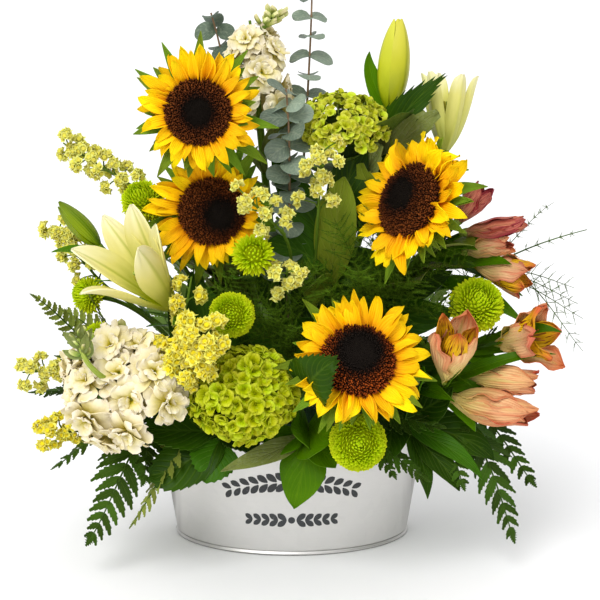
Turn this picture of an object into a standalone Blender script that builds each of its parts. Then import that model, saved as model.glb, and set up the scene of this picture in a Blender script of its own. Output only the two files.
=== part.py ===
"""Sunflowers, lilies and greenery standing in wet foam in an oval galvanised tub.

Units are metres, +Z is up, and the origin is at the middle of the tub's underside. +X runs along the
tub's long side and -Y is the front, where the flowers face. Every cut stem, frond and leaf is one closed
solid that grows out of its own hole in the foam block.
"""

import math
from collections import namedtuple

import bmesh
import bpy
from mathutils import Matrix, Vector

# Tub: turned profiles, stretched along X into an oval.
OVAL_RATIO = 1.544
TUB_FLOOR_RADIUS = 0.0647
TUB_RIM_RADIUS = 0.0751
TUB_HEIGHT = 0.1054
SHEET = 0.0010
BEAD = 0.0018
BASE_SHEET = 0.0012
BASE_LIP = 0.0040
FIT = 0.0003

# Liner inside the tub.
LINER_SHEET = 0.0010
LINER_FIT = 0.0004
LINER_HEEL = 0.0052
LINER_BEND = 0.0115
LINER_TOP = 0.0970
TURN_STEPS = 40

# Foam block.
FOAM_FLOOR = 0.0032
FOAM_TOP = 0.1280
FOAM_SHOULDER = 0.1190
FOAM_TOP_RADIUS = 0.0620
FOAM_GAP = 0.0006
HOLE_SIDES = 8

# Stems.
STEM_DEPTH = 0.042
SIDE_DEPTH = 0.018
KNEE_LENGTH = 0.010
RISE = 0.42
NECK = 0.26
SLIM_SIDES = 6
ROUND_SIDES = 8
PETAL_SIDES = 12
SUN_SIDES = 20
FLAT_SIDES = 4

COLLECTION_NAME = "flower_tub"

Ring = namedtuple("Ring", "centre axis width depth valley side", defaults=(1.0, None))

GALVANISED = ("galvanised", (0.60, 0.62, 0.63), 0.38, 0.9)
CLEAR_PLASTIC = ("clear_plastic", (0.80, 0.84, 0.86), 0.15, 0.0)
FOAM_GREEN = ("foam_green", (0.10, 0.22, 0.12), 0.95, 0.0)
SUN_GOLD = ("sun_gold", (0.95, 0.55, 0.02), 0.6, 0.0)
LILY_CREAM = ("lily_cream", (0.86, 0.86, 0.55), 0.5, 0.0)
BUD_GREEN = ("bud_green", (0.62, 0.70, 0.20), 0.5, 0.0)
STOCK_CREAM = ("stock_cream", (0.90, 0.85, 0.66), 0.7, 0.0)
HYDRANGEA_GREEN = ("hydrangea_green", (0.38, 0.56, 0.08), 0.7, 0.0)
POM_GREEN = ("pom_green", (0.30, 0.48, 0.04), 0.7, 0.0)
STATICE_YELLOW = ("statice_yellow", (0.85, 0.80, 0.25), 0.7, 0.0)
SALMON = ("salmon", (0.85, 0.40, 0.28), 0.5, 0.0)
SILVER_GREEN = ("silver_green", (0.30, 0.40, 0.36), 0.7, 0.0)
FERN_GREEN = ("fern_green", (0.05, 0.20, 0.04), 0.6, 0.0)
PLUME_GREEN = ("plume_green", (0.04, 0.15, 0.03), 0.7, 0.0)
LEAF_GREEN = ("leaf_green", (0.08, 0.26, 0.05), 0.5, 0.0)


STEMS = []


def clear_scene() -> None:
    """Remove every object that the scene starts with."""
    for thing in list(bpy.data.objects):
        bpy.data.objects.remove(thing, do_unlink=True)


def collection(name: str) -> bpy.types.Collection:
    """Add a collection to the scene."""
    group = bpy.data.collections.new(name)
    bpy.context.scene.collection.children.link(group)
    return group


def finish(look: tuple) -> bpy.types.Material:
    """One Principled material for each named look, made once."""
    name, colour, roughness, metallic = look
    material = bpy.data.materials.get(name)
    if material is None:
        material = bpy.data.materials.new(name)
        material.use_nodes = True
        shader = material.node_tree.nodes["Principled BSDF"]
        shader.inputs["Base Color"].default_value = (*colour, 1.0)
        shader.inputs["Roughness"].default_value = roughness
        shader.inputs["Metallic"].default_value = metallic
    return material


def add_object(name: str, mesh: bpy.types.Mesh, look: tuple) -> bpy.types.Object:
    """Link a mesh as a named object of the arrangement, smooth but for its sharp edges."""
    thing = bpy.data.objects.new(name, mesh)
    thing.data.materials.append(finish(look))
    bpy.data.collections[COLLECTION_NAME].objects.link(thing)
    mesh.shade_smooth()
    mesh.set_sharp_from_angle(angle=math.radians(40.0))
    return thing


def turned(name: str, profile: list, look: tuple) -> bpy.types.Object:
    """Turn a profile of (radius, height) points into an oval solid.

    The profile runs down the outer side. It closes on itself where it starts away from the axis.
    """
    outline = bmesh.new()
    points = [outline.verts.new((radius * OVAL_RATIO, 0.0, height)) for radius, height in profile]
    pairs = list(zip(points, points[1:]))
    if profile[0][0] > 0.0:
        pairs.append((points[-1], points[0]))
    for pair in pairs:
        outline.edges.new(pair)
    mesh = bpy.data.meshes.new(name)
    outline.to_mesh(mesh)
    outline.free()
    thing = bpy.data.objects.new(name, mesh)
    bpy.data.collections[COLLECTION_NAME].objects.link(thing)
    screw = thing.modifiers.new("turn", "SCREW")
    screw.steps = TURN_STEPS
    screw.render_steps = TURN_STEPS
    screw.use_merge_vertices = True
    screw.merge_threshold = 0.0001
    solid = bpy.data.meshes.new_from_object(thing.evaluated_get(bpy.context.evaluated_depsgraph_get()))
    bpy.data.objects.remove(thing)
    solid.transform(Matrix.Diagonal((1.0, 1.0 / OVAL_RATIO, 1.0, 1.0)))
    return add_object(name, solid, look)


def wall_outside(height: float) -> float:
    """Outer radius of the tub's sloping wall at a height, before the oval stretch."""
    return TUB_FLOOR_RADIUS + SHEET + (TUB_RIM_RADIUS - TUB_FLOOR_RADIUS) * height / TUB_HEIGHT


def liner_outside(height: float) -> float:
    """Outer radius of the liner, which stands just clear of the wall."""
    return wall_outside(height) - SHEET - LINER_FIT


def build_wall() -> None:
    """The sloping wall with its rolled rim and foot bead."""
    rim = wall_outside(TUB_HEIGHT - BEAD) + BEAD * 0.6
    foot = wall_outside(BEAD) + BEAD * 0.3
    bead_reach = 2.6 * BEAD
    profile = [(rim - BEAD * 1.4, TUB_HEIGHT - BEAD * 0.3)]
    for turn in range(120, -91, -30):
        angle = math.radians(turn)
        profile.append((rim + BEAD * math.cos(angle), TUB_HEIGHT - BEAD + BEAD * math.sin(angle)))
    profile.append((wall_outside(TUB_HEIGHT - bead_reach), TUB_HEIGHT - bead_reach))
    profile.append((wall_outside(bead_reach), bead_reach))
    for turn in range(90, -91, -45):
        angle = math.radians(turn)
        profile.append((foot + BEAD * math.cos(angle), BEAD + BEAD * math.sin(angle)))
    profile.append((wall_outside(0.0) - SHEET, 0.0))
    profile.append((wall_outside(TUB_HEIGHT * 0.96) - SHEET, TUB_HEIGHT * 0.96))
    turned("tub_wall", profile, GALVANISED)


def build_base() -> None:
    """The pressed base inside the wall's foot, with a low turned-up edge."""
    edge = wall_outside(0.0) - SHEET - FIT
    turned("tub_base", [(0.0, BASE_SHEET), (edge - 0.0020, BASE_SHEET), (edge - 0.0010, BASE_LIP),
                        (edge, BASE_LIP), (edge, 0.0), (0.0, 0.0)], GALVANISED)


def build_liner() -> None:
    """The thin plastic liner that keeps the tub watertight."""
    floor = BASE_SHEET + FIT
    heel = liner_outside(LINER_HEEL) - 0.0024
    bend = liner_outside(LINER_BEND)
    lip = liner_outside(LINER_TOP)
    turned("tub_liner", [(0.0, floor + LINER_SHEET), (heel - 0.0036, floor + LINER_SHEET),
                         (heel - LINER_SHEET, LINER_HEEL), (bend - LINER_SHEET, LINER_BEND),
                         (lip - LINER_SHEET, LINER_TOP), (lip, LINER_TOP), (bend, LINER_BEND - 0.0005),
                         (heel, LINER_HEEL - 0.0007), (heel - 0.0030, floor), (0.0, floor)], CLEAR_PLASTIC)


def build_foam() -> bpy.types.Object:
    """The soaked foam block that fills the liner and stands proud of the rim."""
    side = liner_outside(LINER_TOP) - LINER_SHEET - FOAM_GAP
    low = liner_outside(LINER_BEND) - LINER_SHEET - FOAM_GAP - 0.0024
    return turned("floral_foam", [(0.0, FOAM_TOP), (FOAM_TOP_RADIUS, FOAM_TOP), (side, FOAM_SHOULDER),
                                  (side, LINER_TOP), (low, LINER_BEND), (low - 0.0060, FOAM_FLOOR),
                                  (0.0, FOAM_FLOOR)], FOAM_GREEN)


def solid_from_rings(name: str, rings: list, sides: int, look: tuple) -> bpy.types.Object:
    """Grow one closed solid ring by ring: a first cap, then each ring pulled out of the last.

    Every four-sided face is split the short way, so that a petal's two walls bend alike and stay apart.
    """
    solid = bmesh.new()
    bmesh.ops.create_circle(solid, cap_ends=True, radius=1.0, segments=sides)
    face = solid.faces[:][0]
    side = Vector((1.0, 0.0, 0.0))
    for index, ring in enumerate(rings):
        if index > 0:
            last = face
            grown = bmesh.ops.extrude_face_region(solid, geom=[last], use_keep_orig=True)["geom"]
            face = next(item for item in grown if isinstance(item, bmesh.types.BMFace))
            if index > 1:
                bmesh.ops.delete(solid, geom=[last], context="FACES_ONLY")
        axis = ring.axis.normalized()
        wanted = side if ring.side is None else ring.side
        if wanted.dot(side) < 0.0:
            wanted = -wanted
        side = (wanted - axis * wanted.dot(axis)).normalized()
        up = axis.cross(side)
        for step, vertex in enumerate(face.verts):
            turn = 2.0 * math.pi * step / sides
            reach = ring.valley if step % 2 else 1.0
            across = side * (ring.width * math.cos(turn) * reach)
            vertex.co = ring.centre + across + up * (ring.depth * math.sin(turn) * reach)
    bmesh.ops.recalc_face_normals(solid, faces=solid.faces[:])
    bmesh.ops.triangulate(solid, faces=solid.faces[:], quad_method="SHORT_EDGE")
    mesh = bpy.data.meshes.new(name)
    solid.to_mesh(mesh)
    solid.free()
    return add_object(name, mesh, look)


def bezier(start: Vector, first: Vector, second: Vector, end: Vector, t: float) -> tuple:
    """Point and direction of a cubic curve at t."""
    rest = 1.0 - t
    point = start * rest ** 3 + first * (3 * rest ** 2 * t) + second * (3 * rest * t ** 2) + end * t ** 3
    slope = (first - start) * rest ** 2 + (second - first) * (2 * rest * t) + (end - second) * t ** 2
    return point, slope.normalized()


class Stem:
    """A stem's way: a straight foot in the foam, a knee just outside it and a curve to the end."""

    def __init__(self, entry: Vector, lean: Vector, end: Vector, facing: Vector, radius: float,
                 depth: float = STEM_DEPTH) -> None:
        """Place the foot and the knee on the line that enters the foam at entry, along lean."""
        self.lean = Vector(lean).normalized()
        self.foot = Vector(entry) - self.lean * depth
        self.knee = Vector(entry) + self.lean * KNEE_LENGTH
        self.end = Vector(end)
        self.facing = Vector(facing).normalized()
        self.radius = radius
        STEMS.append(self)

    def at(self, t: float) -> tuple:
        """Point and direction at t along the curve from the knee (0) to the end (1)."""
        span = (self.end - self.knee).length
        first = self.knee + self.lean * (span * RISE)
        second = self.end - self.facing * (span * NECK)
        return bezier(self.knee, first, second, self.end, t)

    def straight(self) -> list:
        """The two rings of the straight foot."""
        return [Ring(point, self.lean, self.radius, self.radius) for point in (self.foot, self.knee)]

    def rings(self, turns: int) -> list:
        """Rings of the plain round stem, all but the one at its end."""
        rings = self.straight()
        for step in range(1, turns):
            point, slope = self.at(step / turns)
            rings.append(Ring(point, slope, self.radius, self.radius))
        return rings


def planted(entry: tuple, base: Vector, facing: Vector, radius: float) -> Stem:
    """A stem to a flower head from an (x, y) entry in the foam's top, leaning the way the head lies."""
    top = Vector((*entry, FOAM_TOP))
    lean = Vector((base.x - top.x, base.y - top.y, 2.0 * max(base.z - top.z, 0.040)))
    return Stem(top, lean, base, facing, radius)


def head(name: str, entry: tuple, centre: tuple, facing: Vector, radius: float, profile: list,
         sides: int, look: tuple, flat: float = 1.0) -> Stem:
    """A stem with a turned head: profile holds (distance along facing, radius, valley ratio)."""
    centre = Vector(centre)
    facing = Vector(facing).normalized()
    stem = planted(entry, centre + facing * profile[0][0], facing, radius)
    rings = stem.rings(4)
    for distance, reach, valley in profile:
        rings.append(Ring(centre + facing * distance, facing, reach, reach * flat, valley))
    solid_from_rings(name, rings, sides, look)
    return stem


def sunflower(name: str, entry: tuple, centre: tuple, facing: tuple, disc: float, reach: float) -> None:
    """Stem, green cup, a scalloped ring of rays and the domed disc."""
    profile = [(-0.030, 0.0055, 1.0), (-0.012, 0.0240, 1.0), (-0.006, reach, 0.74),
               (-0.003, reach * 0.99, 0.73), (0.001, disc * 1.04, 1.0), (0.007, disc * 0.90, 1.0),
               (0.009, disc * 0.45, 1.0)]
    head(name, entry, centre, facing, 0.0050, profile, SUN_SIDES, SUN_GOLD)


def pom(name: str, entry: tuple, centre: tuple, facing: tuple, size: float) -> None:
    """A button chrysanthemum: a near ball on a thin stem."""
    profile = [(-0.85, 0.12), (-0.66, 0.62), (-0.10, 1.0), (0.35, 0.95), (0.78, 0.50)]
    profile = [(size * distance, size * reach, 1.0) for distance, reach in profile]
    head(name, entry, centre, facing, 0.0022, profile, ROUND_SIDES, POM_GREEN)


def dome(name: str, entry: tuple, centre: tuple, facing: tuple, size: float, height: float, look: tuple,
         flat: float) -> None:
    """A hydrangea or stock head: a broad dome on a firm stem."""
    profile = [(-0.75, 0.08), (-0.40, 0.55), (0.05, 1.0), (0.50, 0.90), (0.85, 0.55), (1.0, 0.22)]
    profile = [(height * distance, size * reach, 1.0) for distance, reach in profile]
    head(name, entry, centre, facing, 0.0035, profile, PETAL_SIDES, look, flat)


def spindle(name: str, entry: tuple, base: tuple, tip: tuple, width: float, look: tuple,
            stem: float = 0.0030) -> None:
    """A bud or a flower spike: a stem and a long body that tapers at both ends."""
    facing = Vector(tip) - Vector(base)
    length = facing.length
    profile = [(0.0, 0.25), (0.14, 0.62), (0.45, 1.0), (0.75, 0.92), (0.94, 0.45), (1.0, 0.12)]
    profile = [(length * distance, max(width * reach, stem), 1.0) for distance, reach in profile]
    head(name, entry, base, facing, stem, profile, SLIM_SIDES, look)


TRUMPET = ((0.0, 0.10, 1.0), (0.15, 0.22, 1.0), (0.60, 0.54, 0.90), (1.0, 1.0, 0.58),
           (0.985, 0.96, 0.57), (0.62, 0.44, 0.90), (0.25, 0.14, 1.0))


def trumpet_profile(length: float, width: float, stem: float) -> list:
    """Out along six petals and back down inside them."""
    return [(length * distance, max(width * reach, stem), valley) for distance, reach, valley in TRUMPET]


def trumpet(name: str, entry: tuple, base: tuple, mouth: tuple, width: float, look: tuple,
            stem: float) -> Stem:
    """An open six-petalled flower on its own stem."""
    facing = Vector(mouth) - Vector(base)
    profile = trumpet_profile(facing.length, width, stem)
    return head(name, entry, base, facing, stem, profile, PETAL_SIDES, look)


def side_floret(name: str, stem: Stem, share: float, base: tuple, mouth: tuple, width: float) -> None:
    """A floret on its own short stalk, which starts inside the main stem at share of its curve."""
    base = Vector(base)
    facing = (Vector(mouth) - base).normalized()
    length = (Vector(mouth) - base).length
    start, slope = stem.at(share)
    stalk = stem.radius * 0.7
    pull = (base - start).length * 0.4
    rings = []
    for step in range(4):
        point, way = bezier(start, start + slope * pull, base - facing * pull, base, step / 4)
        rings.append(Ring(point, way, stalk, stalk))
    for distance, reach, valley in trumpet_profile(length, width, stalk):
        rings.append(Ring(base + facing * distance, facing, reach, reach, valley))
    solid_from_rings(name, rings, PETAL_SIDES, SALMON)


def umbel(name: str, entry: tuple, florets: list) -> None:
    """An alstroemeria: florets, each (base, mouth, width), on one branching stem."""
    stem = trumpet(name, entry, *florets[0], SALMON, 0.0020)
    whole = bpy.data.objects[name]
    for base, mouth, width in florets[1:]:
        side_floret("side_floret", stem, 0.45, base, mouth, width)
        other = bpy.data.objects["side_floret"]
        union = whole.modifiers.new("join", "BOOLEAN")
        union.operation = "UNION"
        union.solver = "EXACT"
        union.object = other
        joined = bpy.data.meshes.new_from_object(whole.evaluated_get(bpy.context.evaluated_depsgraph_get()))
        whole.modifiers.clear()
        whole.data = joined
        bpy.data.objects.remove(other)


def blade(name: str, look: tuple, entry: tuple, lean: tuple, tip: tuple, tip_way: tuple, width: float,
          upper: tuple, teeth: int, start: float, depth: float = SIDE_DEPTH) -> None:
    """A leaf or a frond: a round stalk that flattens into a blade, toothed where teeth is above 0."""
    stalk = 0.0016
    thick = 0.0006
    stem = Stem(entry, lean, tip, tip_way, stalk, depth)
    rings = stem.straight()
    steps = max(2 * teeth, 5)
    for step in range(steps + 1):
        share = step / steps
        point, slope = stem.at(start + (1.0 - start) * share)
        outline = math.sin(math.pi * (0.08 + 0.90 * share ** 0.8))
        if teeth and step % 2:
            outline *= 0.55
        side = slope.cross(Vector(upper))
        rings.append(Ring(point, slope, max(width * outline, stalk), thick, 1.0, side))
    solid_from_rings(name, rings, FLAT_SIDES, look)


def whorls(name: str, entry: tuple, lean: tuple, tip: tuple, tip_way: tuple, width: float, pairs: int,
           start: float) -> None:
    """A eucalyptus stem: pairs of round leaves, each pair a thin plate across the stem."""
    twig = 0.0016
    stem = Stem(entry, lean, tip, tip_way, twig)
    rings = stem.straight()
    for step in range(pairs):
        share = step / (pairs - 1)
        point, slope = stem.at(start + (0.96 - start) * share)
        size = width * (1.0 - 0.45 * share)
        wide, deep = (size, size * 0.5) if step % 2 else (size * 0.5, size)
        for offset, across, along in ((-0.0025, twig, twig), (-0.0006, wide, deep), (0.0006, wide, deep),
                                      (0.0025, twig, twig)):
            rings.append(Ring(point + slope * offset, slope, across, along))
    point, slope = stem.at(1.0)
    rings.append(Ring(point, slope, twig * 0.5, twig * 0.5))
    solid_from_rings(name, rings, SLIM_SIDES, SILVER_GREEN)


def card_pick() -> None:
    """The clear pick: a square rod that forks into two prongs for a card."""
    foot = Vector((-0.036, 0.048, FOAM_TOP - STEM_DEPTH))
    rod = 0.0016
    shape = bmesh.new()
    bmesh.ops.create_cube(shape, size=1.0)
    lean = Vector((-0.02, -0.05, 1.0)).normalized()
    stem = Stem(foot + lean * STEM_DEPTH, lean, foot + lean * 0.34, lean, rod * math.sqrt(2.0))
    for vertex in shape.verts:
        top = vertex.co.z > 0.0
        vertex.co = stem.foot + lean * (0.320 if top else 0.0) + Vector((
            math.copysign(0.0060 if top else rod, vertex.co.x), math.copysign(rod, vertex.co.y), 0.0))
    cap = max(shape.faces, key=lambda face: face.calc_center_median().z)
    across = [edge for edge in cap.edges
              if abs((edge.verts[0].co - edge.verts[1].co).x) > rod * 2.5]
    bmesh.ops.subdivide_edges(shape, edges=across, cuts=3, use_grid_fill=True)
    crown = [face for face in shape.faces if face.normal.z > 0.9]
    crown.sort(key=lambda face: face.calc_center_median().x)
    for prong, outward in ((crown[0], -1.0), (crown[-1], 1.0)):
        face = prong
        for lift, spread in ((0.012, 0.005), (0.014, 0.003), (0.012, 0.001)):
            grown = bmesh.ops.extrude_face_region(shape, geom=[face])["geom"]
            last = face
            face = next(item for item in grown if isinstance(item, bmesh.types.BMFace))
            if last.is_valid:
                bmesh.ops.delete(shape, geom=[last], context="FACES_ONLY")
            shift = lean * lift + Vector((outward * spread, 0.0, 0.0))
            bmesh.ops.translate(shape, verts=face.verts[:], vec=shift)
    bmesh.ops.recalc_face_normals(shape, faces=shape.faces[:])
    mesh = bpy.data.meshes.new("card_pick")
    shape.to_mesh(mesh)
    shape.free()
    add_object("card_pick", mesh, CLEAR_PLASTIC)


def bore_foam(foam: bpy.types.Object) -> None:
    """Cut one blind hole for each stem, a little wider than the stem."""
    holes = collection("cutters")
    for index, stem in enumerate(STEMS):
        radius = (stem.radius + FIT + 0.0001) / math.cos(math.pi / HOLE_SIDES)
        start = stem.foot - stem.lean * FIT
        end = stem.knee + stem.lean * KNEE_LENGTH
        drill = bmesh.new()
        bmesh.ops.create_cone(drill, cap_ends=True, segments=HOLE_SIDES, radius1=radius, radius2=radius,
                              depth=(end - start).length)
        mesh = bpy.data.meshes.new(f"hole_{index}")
        drill.to_mesh(mesh)
        drill.free()
        cutter = bpy.data.objects.new(mesh.name, mesh)
        cutter.location = (start + end) / 2.0
        cutter.rotation_mode = "QUATERNION"
        cutter.rotation_quaternion = (end - start).to_track_quat("Z", "X")
        cutter.hide_render = True
        cutter.display_type = "WIRE"
        holes.objects.link(cutter)
        cut = foam.modifiers.new(cutter.name, "BOOLEAN")
        cut.operation = "DIFFERENCE"
        cut.solver = "EXACT"
        cut.object = cutter


def build_flowers() -> None:
    """Every flowering stem, from the largest heads to the smallest."""
    sunflower("sunflower_top", (-0.026, 0.004), (-0.071, -0.114, 0.382), (-0.05, -0.98, 0.16), 0.031, 0.054)
    sunflower("sunflower_second", (-0.032, -0.014), (-0.063, -0.086, 0.300), (0.06, -0.97, 0.14), 0.030,
              0.054)
    sunflower("sunflower_right", (0.040, 0.000), (0.093, -0.100, 0.311), (-0.69, -0.60, 0.40), 0.033, 0.062)
    sunflower("sunflower_front", (0.030, -0.038), (0.052, -0.145, 0.193), (0.04, -0.84, 0.54), 0.034, 0.062)

    trumpet("lily_open", (-0.048, -0.013), (-0.091, -0.078, 0.231), (-0.139, -0.128, 0.284), 0.045,
            LILY_CREAM, 0.0035)
    trumpet("lily_half_open", (0.054, 0.018), (0.126, -0.040, 0.343), (0.129, -0.025, 0.405), 0.024,
            LILY_CREAM, 0.0035)
    spindle("lily_bud_tall", (0.034, 0.024), (0.081, -0.026, 0.374), (0.088, -0.010, 0.447), 0.0145,
            BUD_GREEN, 0.0030)
    spindle("lily_bud_small", (-0.068, 0.008), (-0.157, -0.058, 0.267), (-0.188, -0.052, 0.300), 0.0105,
            BUD_GREEN, 0.0025)

    dome("stock_low", (-0.064, -0.034), (-0.132, -0.114, 0.166), (-0.40, -0.80, 0.32), 0.052, 0.038,
         STOCK_CREAM, 0.95)
    spindle("stock_tall", (-0.010, 0.022), (-0.024, -0.024, 0.360), (-0.019, -0.010, 0.462), 0.027,
            STOCK_CREAM, 0.0035)
    dome("hydrangea_low", (-0.018, -0.050), (-0.038, -0.126, 0.160), (-0.08, -0.90, 0.40), 0.048, 0.030,
         HYDRANGEA_GREEN, 0.84)
    dome("hydrangea_high", (0.018, 0.000), (0.044, -0.046, 0.360), (0.02, -0.30, 0.95), 0.036, 0.024,
         HYDRANGEA_GREEN, 1.0)

    pom("pom_centre", (-0.020, -0.032), (-0.029, -0.122, 0.273), (0.10, -0.93, 0.30), 0.018)
    pom("pom_left", (-0.034, -0.040), (-0.047, -0.120, 0.224), (-0.10, -0.93, 0.30), 0.019)
    pom("pom_front", (0.044, -0.050), (0.053, -0.142, 0.125), (0.05, -0.96, 0.20), 0.023)
    pom("pom_right", (0.064, -0.012), (0.146, -0.090, 0.229), (0.35, -0.80, 0.45), 0.022)
    pom("pom_upper_left", (-0.050, 0.008), (-0.122, -0.066, 0.310), (-0.40, -0.50, 0.70), 0.017)
    pom("pom_behind_lily", (-0.082, 0.010), (-0.170, -0.050, 0.224), (-0.80, -0.50, 0.25), 0.015)
    pom("pom_behind_stock", (-0.072, -0.012), (-0.160, -0.072, 0.192), (-0.80, -0.50, 0.25), 0.014)
    pom("pom_far_right", (0.090, 0.000), (0.166, -0.054, 0.158), (0.75, -0.50, 0.30), 0.014)

    statice = (
        ("statice_upper_left", (-0.054, 0.026), (-0.135, -0.040, 0.316), (-0.186, -0.028, 0.343), 0.016),
        ("statice_left", (-0.078, 0.026), (-0.172, -0.024, 0.244), (-0.200, -0.026, 0.278), 0.014),
        ("statice_low_left", (-0.088, -0.006), (-0.180, -0.050, 0.158), (-0.226, -0.046, 0.156), 0.015),
        ("statice_rim_left", (-0.082, -0.026), (-0.164, -0.070, 0.114), (-0.208, -0.080, 0.113), 0.014),
        ("statice_front", (-0.048, -0.040), (-0.074, -0.122, 0.200), (-0.080, -0.160, 0.220), 0.022),
        ("statice_middle", (-0.010, -0.022), (-0.014, -0.104, 0.298), (-0.030, -0.134, 0.320), 0.018),
        ("statice_centre", (0.016, -0.018), (0.024, -0.080, 0.318), (0.024, -0.100, 0.352), 0.018),
        ("statice_inner", (0.004, -0.036), (-0.003, -0.100, 0.248), (-0.003, -0.128, 0.262), 0.012))
    for name, entry, base, tip, width in statice:
        spindle(name, entry, base, tip, width, STATICE_YELLOW, 0.0014)

    umbel("alstroemeria_upper", (0.066, 0.006), [((0.141, -0.060, 0.296), (0.158, -0.066, 0.312), 0.012),
                                                 ((0.148, -0.064, 0.276), (0.180, -0.078, 0.289), 0.012)])
    umbel("alstroemeria_middle", (0.076, 0.016), [((0.156, -0.052, 0.248), (0.190, -0.070, 0.250), 0.014)])
    umbel("alstroemeria_cup", (0.058, -0.032), [((0.127, -0.110, 0.171), (0.133, -0.134, 0.218), 0.018)])
    umbel("alstroemeria_open", (0.082, -0.018), [((0.176, -0.074, 0.184), (0.208, -0.102, 0.208), 0.030)])
    umbel("alstroemeria_buds", (0.070, -0.034), [((0.154, -0.086, 0.152), (0.196, -0.104, 0.164), 0.013),
                                                 ((0.146, -0.096, 0.134), (0.190, -0.118, 0.146), 0.013)])


def build_greens() -> None:
    """Eucalyptus, fronds, plumes and broad leaves round the flowers."""
    whorls("eucalyptus_tall", (0.004, 0.008, FOAM_TOP), (0.0, 0.0, 1.0), (0.017, -0.001, 0.467),
           (0.02, 0.05, 1.0), 0.021, 8, 0.55)
    whorls("eucalyptus_column", (-0.004, -0.006, FOAM_TOP), (0.0, -0.25, 1.0), (-0.004, -0.062, 0.395),
           (-0.1, 0.4, 1.0), 0.019, 9, 0.40)
    whorls("eucalyptus_left", (-0.028, 0.026, FOAM_TOP), (-0.10, -0.05, 1.0), (-0.066, -0.010, 0.452),
           (-0.3, 0.0, 1.0), 0.014, 6, 0.70)

    shoulder = 0.1235
    front = (0.0, -0.5, 1.0)
    left = (-0.6, -0.3, 1.0)
    right = (0.6, -0.3, 1.0)
    back = (0.0, 1.0, 0.6)
    fronds = (
        ("fern_low_left", (-0.098, -0.030), (-0.80, -0.45, 0.20), (-0.166, -0.112, 0.026),
         (-0.35, -0.25, -1.0), 0.026, left, 8, 0.30),
        ("fern_low_left_thin", (-0.074, -0.051), (-0.55, -0.80, 0.18), (-0.130, -0.132, 0.046),
         (-0.2, -0.25, -1.0), 0.015, left, 7, 0.40),
        ("fern_left", (-0.108, 0.006), (-0.95, 0.00, 0.35), (-0.222, -0.020, 0.218),
         (-1.0, -0.1, 0.6), 0.018, left, 7, 0.45),
        ("fern_left_low", (-0.106, -0.012), (-0.95, -0.10, 0.22), (-0.226, -0.024, 0.132),
         (-1.0, -0.1, 0.0), 0.012, left, 6, 0.40),
        ("fern_low_right", (0.098, -0.030), (0.80, -0.45, 0.20), (0.186, -0.108, 0.026),
         (0.35, -0.2, -1.0), 0.022, right, 8, 0.30),
        ("fern_right", (0.107, -0.010), (0.95, -0.15, 0.20), (0.208, -0.066, 0.060),
         (0.7, -0.25, -0.7), 0.020, right, 7, 0.30),
        ("fern_front", (0.040, -0.065), (0.30, -0.90, 0.12), (0.112, -0.120, 0.086),
         (0.9, -0.2, -0.5), 0.014, front, 6, 0.35),
        ("fern_back_left", (-0.083, 0.045), (-0.55, 0.70, 0.60), (-0.150, 0.118, 0.200),
         (-0.8, 0.5, 0.1), 0.026, back, 7, 0.25),
        ("fern_back_right", (0.082, 0.047), (0.55, 0.70, 0.60), (0.150, 0.118, 0.200),
         (0.8, 0.5, 0.1), 0.026, back, 7, 0.25),
        ("fern_back", (-0.004, 0.069), (0.0, 0.50, 0.90), (0.0, 0.105, 0.290),
         (0.0, 0.3, 1.0), 0.030, back, 8, 0.25))
    for name, entry, lean, tip, tip_way, width, upper, teeth, start in fronds:
        blade(name, FERN_GREEN, (*entry, shoulder), lean, tip, tip_way, width, upper, teeth, start)

    plumes = (
        ("plume_centre", (0.050, -0.016), (0.15, -0.45, 1.0), (0.080, -0.088, 0.262),
         (0.5, -0.4, 1.0), 0.034, (0.0, -1.0, 0.4), 6, 0.25),
        ("plume_left", (0.010, -0.050), (-0.10, -0.60, 1.0), (-0.012, -0.104, 0.226),
         (-0.2, -0.3, 1.0), 0.018, (0.0, -1.0, 0.2), 5, 0.40),
        ("plume_right", (0.078, 0.032), (0.60, 0.10, 1.0), (0.247, -0.034, 0.272),
         (1.0, -0.2, 0.3), 0.034, (0.0, -1.0, 0.3), 7, 0.40))
    for name, entry, lean, tip, tip_way, width, upper, teeth, start in plumes:
        blade(name, PLUME_GREEN, (*entry, FOAM_TOP), lean, tip, tip_way, width, upper, teeth, start,
              STEM_DEPTH)

    leaves = (
        ("leaf_hanging", (0.004, -0.070, shoulder), (0.05, -0.95, 0.15), (0.003, -0.110, 0.060),
         (-0.1, 0.05, -1.0), 0.019, front, 0.45, SIDE_DEPTH),
        ("leaf_over_sunflower", (0.008, -0.064, 0.1260), (0.05, -0.75, 0.60), (0.020, -0.182, 0.162),
         (0.4, -0.6, 0.5), 0.011, (0.0, -0.6, 1.0), 0.60, SIDE_DEPTH),
        ("leaf_serrated", (-0.034, -0.066, shoulder), (-0.25, -0.90, 0.12), (-0.110, -0.118, 0.088),
         (-1.0, -0.1, -0.2), 0.020, front, 0.30, SIDE_DEPTH),
        ("leaf_olive", (0.030, -0.010, FOAM_TOP), (0.05, -0.12, 1.0), (0.042, -0.058, 0.322),
         (0.2, -0.1, 1.0), 0.017, (0.0, -1.0, 0.2), 0.70, STEM_DEPTH),
        ("leaf_upper_right", (0.024, 0.036, FOAM_TOP), (0.08, -0.05, 1.0), (0.128, -0.002, 0.402),
         (0.8, 0.0, 0.6), 0.022, (0.0, -1.0, 0.5), 0.70, STEM_DEPTH),
        ("leaf_rim_right", (0.072, -0.052, shoulder), (0.50, -0.80, 0.20), (0.125, -0.112, 0.052),
         (0.2, -0.1, -1.0), 0.016, front, 0.35, SIDE_DEPTH))
    for name, entry, lean, tip, tip_way, width, upper, start, depth in leaves:
        blade(name, LEAF_GREEN, entry, lean, tip, tip_way, width, upper, 0, start, depth)


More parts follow.
